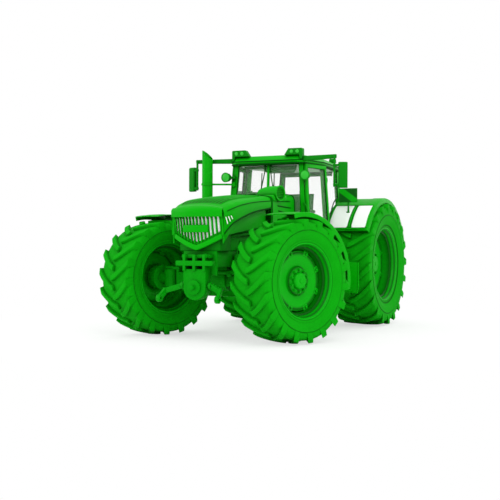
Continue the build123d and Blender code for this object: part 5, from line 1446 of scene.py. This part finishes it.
def make_outside():
    """Handrails, the mud shield behind the left steps, and the tank cap."""
    rails, sheets = [], []
    for side in (1, -1):
        rails.append(pipe("handrail", [(0.262, side * 0.640, 1.20), (0.300, side * 0.700, 1.23),
                (0.292, side * 0.705, 1.55), (0.276, side * 0.690, 1.86), (0.232, side * 0.600, 1.90)],
                0.013, True, 5))
    shield = plate("mud_shield", [(-0.470, 0.735, 0.600), (-0.470, 1.190, 0.560), (-0.462, 1.215, 0.640),
            (-0.450, 1.210, 1.020), (-0.450, 0.735, 1.040)], (0.008, 0, 0), 0.003)
    fold = pipe("shield_edge", [(-0.466, 0.740, 0.598), (-0.466, 1.186, 0.560), (-0.458, 1.212, 0.640),
            (-0.446, 1.208, 1.018)], 0.010, False, 3)
    brackets = [block("shield_bracket", (-0.456, 0.700, z), (-0.380, 0.740, z + 0.040), 0.004)
            for z in (0.68, 0.94)]
    sheets += [shield, fold, *brackets]
    fitted(joined("step_mud_shield", *sheets), "chassis", FINISH["enamel"])
    cap = turned("tank_cap", [(0.0, 0.0), (0.0, 0.050), (0.006, 0.056), (0.030, 0.054), (0.038, 0.046),
            (0.040, 0.0)], (0.360, 0.640, 1.028), (0, 0, 1), 40)
    lugs = [block("cap_lug", (0.352, 0.596, 1.062), (0.368, 0.684, 1.078), 0.005)]
    rails += [cap, *lugs]
    fitted(joined("handrails_and_cap", *rails), "chassis", FINISH["plastic"])


def make_rear_fittings():
    """Rear lamp clusters on the fenders, oil couplers, a rear window handle, and the drawbar's pin."""
    cases, covers, steel = [], [], []
    for side in (1, -1):
        y, z = side * 1.120, 1.700  # middle of the lamp cluster
        cases.append(block("lamp_case", (-2.335, y - 0.120, z - 0.050), (-2.255, y + 0.120, z + 0.050),
                0.014, 3))
        for dy in (-0.075, 0.0, 0.075):
            covers.append(block("lamp_cover", (-2.342, y + dy - 0.033, z - 0.038),
                    (-2.330, y + dy + 0.033, z + 0.038), 0.006, 2))
        cases.append(block("lamp_bracket", (-2.262, y - 0.060, z - 0.110), (-2.236, y + 0.060, z + 0.040),
                0.006, 2))
    for row in range(2):
        for k in range(4):
            at = Vector((-1.905, -0.105 + 0.070 * k, 1.020 + 0.070 * row))
            steel.append(turned("oil_coupler", [(0.0, 0.0), (0.0, 0.024), (0.020, 0.026), (0.026, 0.020),
                    (0.050, 0.020), (0.056, 0.016), (0.056, 0.010), (0.045, 0.009), (0.045, 0.0)], at,
                    (-1, 0, 0), 20))
    steel.append(block("coupler_block", (-1.910, -0.150, 0.985), (-1.880, 0.150, 1.125), 0.008, 2))
    steel.append(pipe("window_handle", [(-1.452, -0.060, 1.640), (-1.482, -0.050, 1.640),
            (-1.482, 0.050, 1.640), (-1.452, 0.060, 1.640)], 0.008, True, 4))
    steel.append(round_bar("drawbar_pin", (-2.275, 0, 0.545), (-2.275, 0, 0.690), 0.017, 24, 0.004))
    steel.append(pipe("pin_handle", [(-2.275, 0.000, 0.680), (-2.275, 0.030, 0.700), (-2.275, 0.075, 0.700),
            (-2.275, 0.085, 0.670)], 0.006, True, 4))
    fitted(joined("rear_lamp_cases", *cases), "chassis", FINISH["plastic"])
    fitted(joined("rear_lamp_covers", *covers), "chassis", FINISH["lens"])
    fitted(joined("rear_steel_fittings", *steel), "chassis", FINISH["steel"])


def make_axle_fittings():
    """Front axle: the steering cylinder over the beam on its saddles, with its rod and hoses."""
    pieces = []
    ax, cylinder_x, cylinder_z = FRONT_AXLE_X, FRONT_AXLE_X + 0.130, 0.905
    pieces.append(turned("steering_cylinder", [(-0.330, 0.0), (-0.330, 0.030), (-0.322, 0.038),
            (-0.300, 0.040), (-0.296, 0.034), (0.296, 0.034), (0.300, 0.040), (0.322, 0.038),
            (0.330, 0.030), (0.330, 0.0)], (cylinder_x, 0, cylinder_z), (0, 1, 0), 32))
    pieces.append(round_bar("cylinder_rod", (cylinder_x, -0.520, cylinder_z),
            (cylinder_x, 0.520, cylinder_z), 0.016, 24, 0.003))
    for side in (1, -1):
        pieces.append(block("cylinder_saddle", (ax + 0.060, side * 0.200 - 0.030, 0.850),
                (ax + 0.175, side * 0.200 + 0.030, 0.895), 0.008))
        pieces.append(pipe("steering_hose", [(cylinder_x, side * 0.290, 0.940),
                (cylinder_x, side * 0.290, 0.985), (ax + 0.020, side * 0.240, 1.030),
                (ax - 0.120, side * 0.220, 1.040), (ax - 0.180, side * 0.200, 1.000)], 0.011, True, 4))
    fitted(joined("front_axle_fittings", *pieces), "chassis", FINISH["steel"])


def make_engine_fittings():
    """Engine sides: ribbed covers, a coolant pipe, an oil filter with its line, and bolts along the sump."""
    pieces = []
    for side in (1, -1):
        y = side * 0.262
        for k in range(4):
            x = 0.840 + 0.235 * k
            pieces.append(block("side_cover", (x - 0.090, min(y, y + side * 0.022), 1.160),
                    (x + 0.090, max(y, y + side * 0.022), 1.330), 0.014, 3))
            for dz in (-0.060, 0.0, 0.060):
                pieces.append(block("cover_rib", (x - 0.070, min(y + side * 0.018, y + side * 0.032),
                        1.240 + dz), (x + 0.070, max(y + side * 0.018, y + side * 0.032), 1.254 + dz),
                        0.004))
        pieces.append(pipe("coolant_pipe", [(0.760, y + side * 0.030, 1.420),
                (1.000, y + side * 0.036, 1.440), (1.500, y + side * 0.036, 1.440),
                (1.800, y + side * 0.010, 1.400), (1.950, side * 0.220, 1.380)], 0.024, True, 5))
        pieces.append(turned("oil_filter", [(0.0, 0.0), (0.0, 0.040), (0.012, 0.048), (0.150, 0.048),
                (0.165, 0.040), (0.168, 0.0)], (1.780, side * 0.300, 0.985), (0, 0, 1), 32))
        pieces.append(pipe("oil_line", [(1.780, side * 0.300, 1.150), (1.780, side * 0.298, 1.200),
                (1.700, side * 0.290, 1.240), (1.560, side * 0.275, 1.250)], 0.010, True, 4))
        for k in range(10):
            x = 0.720 + 0.120 * k
            pieces.append(round_bar("sump_bolt", (x, y - side * 0.004, 0.985), (x, y + side * 0.010, 0.985),
                    0.011, 6, 0.001))
    fitted(joined("engine_covers_and_pipes", *pieces), "chassis", FINISH["casting"])


# ---------------------------------------------------------------- stage
def make_stage():
    """Pale floor, plain white surroundings, soft lamps and the camera."""
    scene = bpy.context.scene
    scene.view_settings.view_transform = "Standard"
    world = bpy.data.worlds.new("plain_white_room")
    scene.world = world
    world.use_nodes = True
    tree = world.node_tree
    tree.nodes.clear()
    path = add_node(tree, "ShaderNodeLightPath")
    seen = add_node(tree, "ShaderNodeMath", {0: path.outputs["Is Camera Ray"],
            1: path.outputs["Is Glossy Ray"]}, operation="MAXIMUM")
    through = add_node(tree, "ShaderNodeMath", {0: seen.outputs[0], 1: path.outputs["Is Transmission Ray"]},
            operation="MAXIMUM")
    light = add_node(tree, "ShaderNodeBackground", {"Color": (1, 1, 1, 1), "Strength": 1.0})
    white = add_node(tree, "ShaderNodeBackground", {"Color": (1, 1, 1, 1), "Strength": 1.0})
    mix = add_node(tree, "ShaderNodeMixShader", {0: through.outputs[0], 1: light.outputs[0],
            2: white.outputs[0]})
    add_node(tree, "ShaderNodeOutputWorld", {"Surface": mix.outputs[0]})

    choose()
    bpy.ops.mesh.primitive_plane_add(size=400, location=(0, 0, -0.002))
    floor = settle(named("studio_floor"))
    material, tree, shader = new_material("matt_painted_floor")
    shader.inputs["Base Color"].default_value = bpy.context.scene.tractor_colours.floor
    shader.inputs["Roughness"].default_value = 0.9
    shader.inputs["Specular IOR Level"].default_value = 0.0
    path = add_node(tree, "ShaderNodeLightPath")
    where = add_node(tree, "ShaderNodeTexCoord")
    away = add_node(tree, "ShaderNodeVectorMath", {0: where.outputs["Object"]}, operation="LENGTH")
    # near the wheels the floor takes their shadow, and beyond them it fades into the white surroundings
    fade = add_node(tree, "ShaderNodeMapRange", {"Value": away.outputs["Value"], "From Min": 1.5,
            "From Max": 5.0, "To Min": 0.60, "To Max": 1.0})
    glow = add_node(tree, "ShaderNodeEmission", {"Color": (1, 1, 1, 1), "Strength": 1.0})
    out = next(n for n in tree.nodes if n.bl_idname == "ShaderNodeOutputMaterial")
    share = add_node(tree, "ShaderNodeMath", {0: path.outputs["Is Camera Ray"], 1: fade.outputs["Result"]},
            operation="MULTIPLY")
    mixed = add_node(tree, "ShaderNodeMixShader", {0: share.outputs[0], 1: shader.outputs[0],
            2: glow.outputs[0]})
    tree.links.new(mixed.outputs[0], out.inputs["Surface"])
    floor.data.materials.append(material)

    for name, place, aim, size, power in (
        ("key_softbox", (7, 6, 7.5), (0.3, 0, 1.0), 5.0, 300),
        ("fill_softbox", (6, -8, 4.5), (0.5, 0, 1.0), 5.0, 180),
        ("top_softbox", (-1, 0.5, 8.5), (0, 0, 0), 6.0, 80),
        ("back_softbox", (-9, 2, 4.0), (0, 0, 1.2), 5.0, 110),
    ):
        choose()
        bpy.ops.object.light_add(type="AREA", location=place,
                rotation=(Vector(aim) - Vector(place)).to_track_quat("-Z", "Y").to_euler())
        lamp = bpy.context.object
        lamp.name = name
        lamp.data.size, lamp.data.energy = size, power

    choose()
    bpy.ops.object.camera_add(location=CAMERA_AT)
    camera = named("main_camera")
    yaw, pitch, roll = CAMERA_TURN
    ahead = Vector((cos(yaw) * cos(pitch), sin(yaw) * cos(pitch), sin(pitch)))
    camera.rotation_euler = (ahead.to_track_quat("-Z", "Y").to_matrix() @ Matrix.Rotation(-roll, 3,
            "Z")).to_euler()
    camera.data.sensor_width, camera.data.lens = 36.0, CAMERA_LENS
    camera.data.clip_end = 200
    scene.camera = camera


CAMERA_AT = (12.72, 5.948, 1.271)
CAMERA_TURN = (3.604, -0.005, -0.004)
CAMERA_LENS = 66.34  # mm on a 36 mm sensor

# ---------------------------------------------------------------- operators
def operator(name, label, text, work):
    """An operator that runs one maker function and reports done."""
    def execute(self, context):
        work()
        return {"FINISHED"}

    return type("TRACTOR_OT_" + name, (Operator,), {"__doc__": text, "bl_idname": "tractor." + name,
            "bl_label": label, "bl_options": {"REGISTER", "UNDO"}, "execute": execute})


def finishes():
    """Makes every finish and keeps it by name."""
    FINISH.update(make_materials())


BARE = {"rear_axle": "casting", "seat": "fabric", "pto_shaft": "steel", "cab_glass": "glass",
        "door_glass_left": "glass", "door_glass_right": "glass", "drawbar": "steel"}


def dress_nodes():
    """Finishes for the frame's own nodes that stay in view."""
    for name, node in frame["nodes"].items():
        finish = BARE.get(name, "casting")
        node.data.materials.clear()
        node.data.materials.append(FINISH[finish])


STEPS = [operator("finishes", "Finishes", "Makes every paint, rubber, glass and plastic", finishes),
        operator("stage", "Stage", "Floor, surroundings, lamps and camera", make_stage),
        operator("rounded_panels", "Rounded panels", "Rounds the corners of the frame's plainer nodes",
        round_nodes), operator("wheels", "Wheels", "Tyres with tread bars and dished rims", make_wheels),
        operator("bonnet", "Bonnet", "Ribbed bonnet sheet with cheek slots, hem and shut lines",
        make_bonnet), operator("nose", "Nose", "Brow, slats, plate, lip and screen", make_nose),
        operator("cowl", "Cowl", "Fixed hood before the windscreen", make_cowl),
        operator("mudguards", "Mudguards", "Rolled front guards on their stays", make_mudguards),
        operator("fenders", "Fenders", "Rolled rear fenders", make_fenders),
        operator("exhaust", "Exhaust", "Silencer, pipe and stay", make_exhaust),
        operator("intake", "Air intake", "Duct with a round mouth", make_intake),
        operator("mirrors", "Mirrors", "Mirrors on arms from the roof", make_mirrors),
        operator("lamps", "Work lamps", "Roof pods, pillar lamps and rear lamps", make_lamps),
        operator("boards", "Marker boards", "Striped width boards", make_boards),
        operator("seals", "Pane seals", "Rubber seals round every pane and the middle post", make_seals),
        operator("roof_trim", "Roof trim", "Gutter, seams and hatch", make_roof_trim),
        operator("rear_fittings", "Rear fittings",
        "Rear lamp clusters, couplers, rear window handle and pin", make_rear_fittings),
        operator("axle_fittings", "Axle fittings", "Steering cylinder with its rod and hoses",
        make_axle_fittings), operator("engine_fittings", "Engine fittings",
        "Covers, pipes, filters and sump bolts at the engine", make_engine_fittings),
        operator("wipers", "Wipers", "Blades, bows, arms and spindles", make_wiper),
        operator("ceiling", "Ceiling", "Lining, header rail, overhead console and blind", make_ceiling),
        operator("seat", "Seat", "Swollen cushions, bellows, tray and arm rests", make_seat),
        operator("controls", "Controls", "Joystick, levers, screen, stalks and grab rail", make_controls),
        operator("door_fittings", "Door fittings", "Handles of both doors", make_door_fittings),
        operator("outside", "Outside fittings", "Handrails, mud shield and tank cap", make_outside),
        operator("bare_nodes", "Bare nodes", "Gives the frame's own nodes their finishes", dress_nodes),]


class TRACTOR_PT_pieces(Panel):
    """Lists the tractor's pieces with their sizes and colours"""

    bl_idname = "TRACTOR_PT_pieces"
    bl_label = "Farm tractor"
    bl_space_type = "VIEW_3D"
    bl_region_type = "UI"
    bl_category = "Tractor"

    def draw(self, context):
        for group in (context.scene.tractor_colours, context.scene.tractor_sizes):
            for key in group.__annotations__:
                self.layout.prop(group, key)
        for step in STEPS:
            self.layout.operator(step.bl_idname)


CLASSES = (TractorColours, TractorSizes, TRACTOR_PT_pieces, *STEPS)


def register():
    for kind in CLASSES:
        bpy.utils.register_class(kind)
    bpy.types.Scene.tractor_colours = PointerProperty(type=TractorColours)
    bpy.types.Scene.tractor_sizes = PointerProperty(type=TractorSizes)


def unregister():
    del bpy.types.Scene.tractor_colours, bpy.types.Scene.tractor_sizes
    for kind in reversed(CLASSES):
        bpy.utils.unregister_class(kind)


def main():
    """Runs every step in order and writes the boxes of the frame and of the dressed tractor."""
    register()
    for step in STEPS:
        bpy.ops.tractor.__getattr__(step.bl_idname.split(".")[1])()


if __name__ == "__main__":
    main()
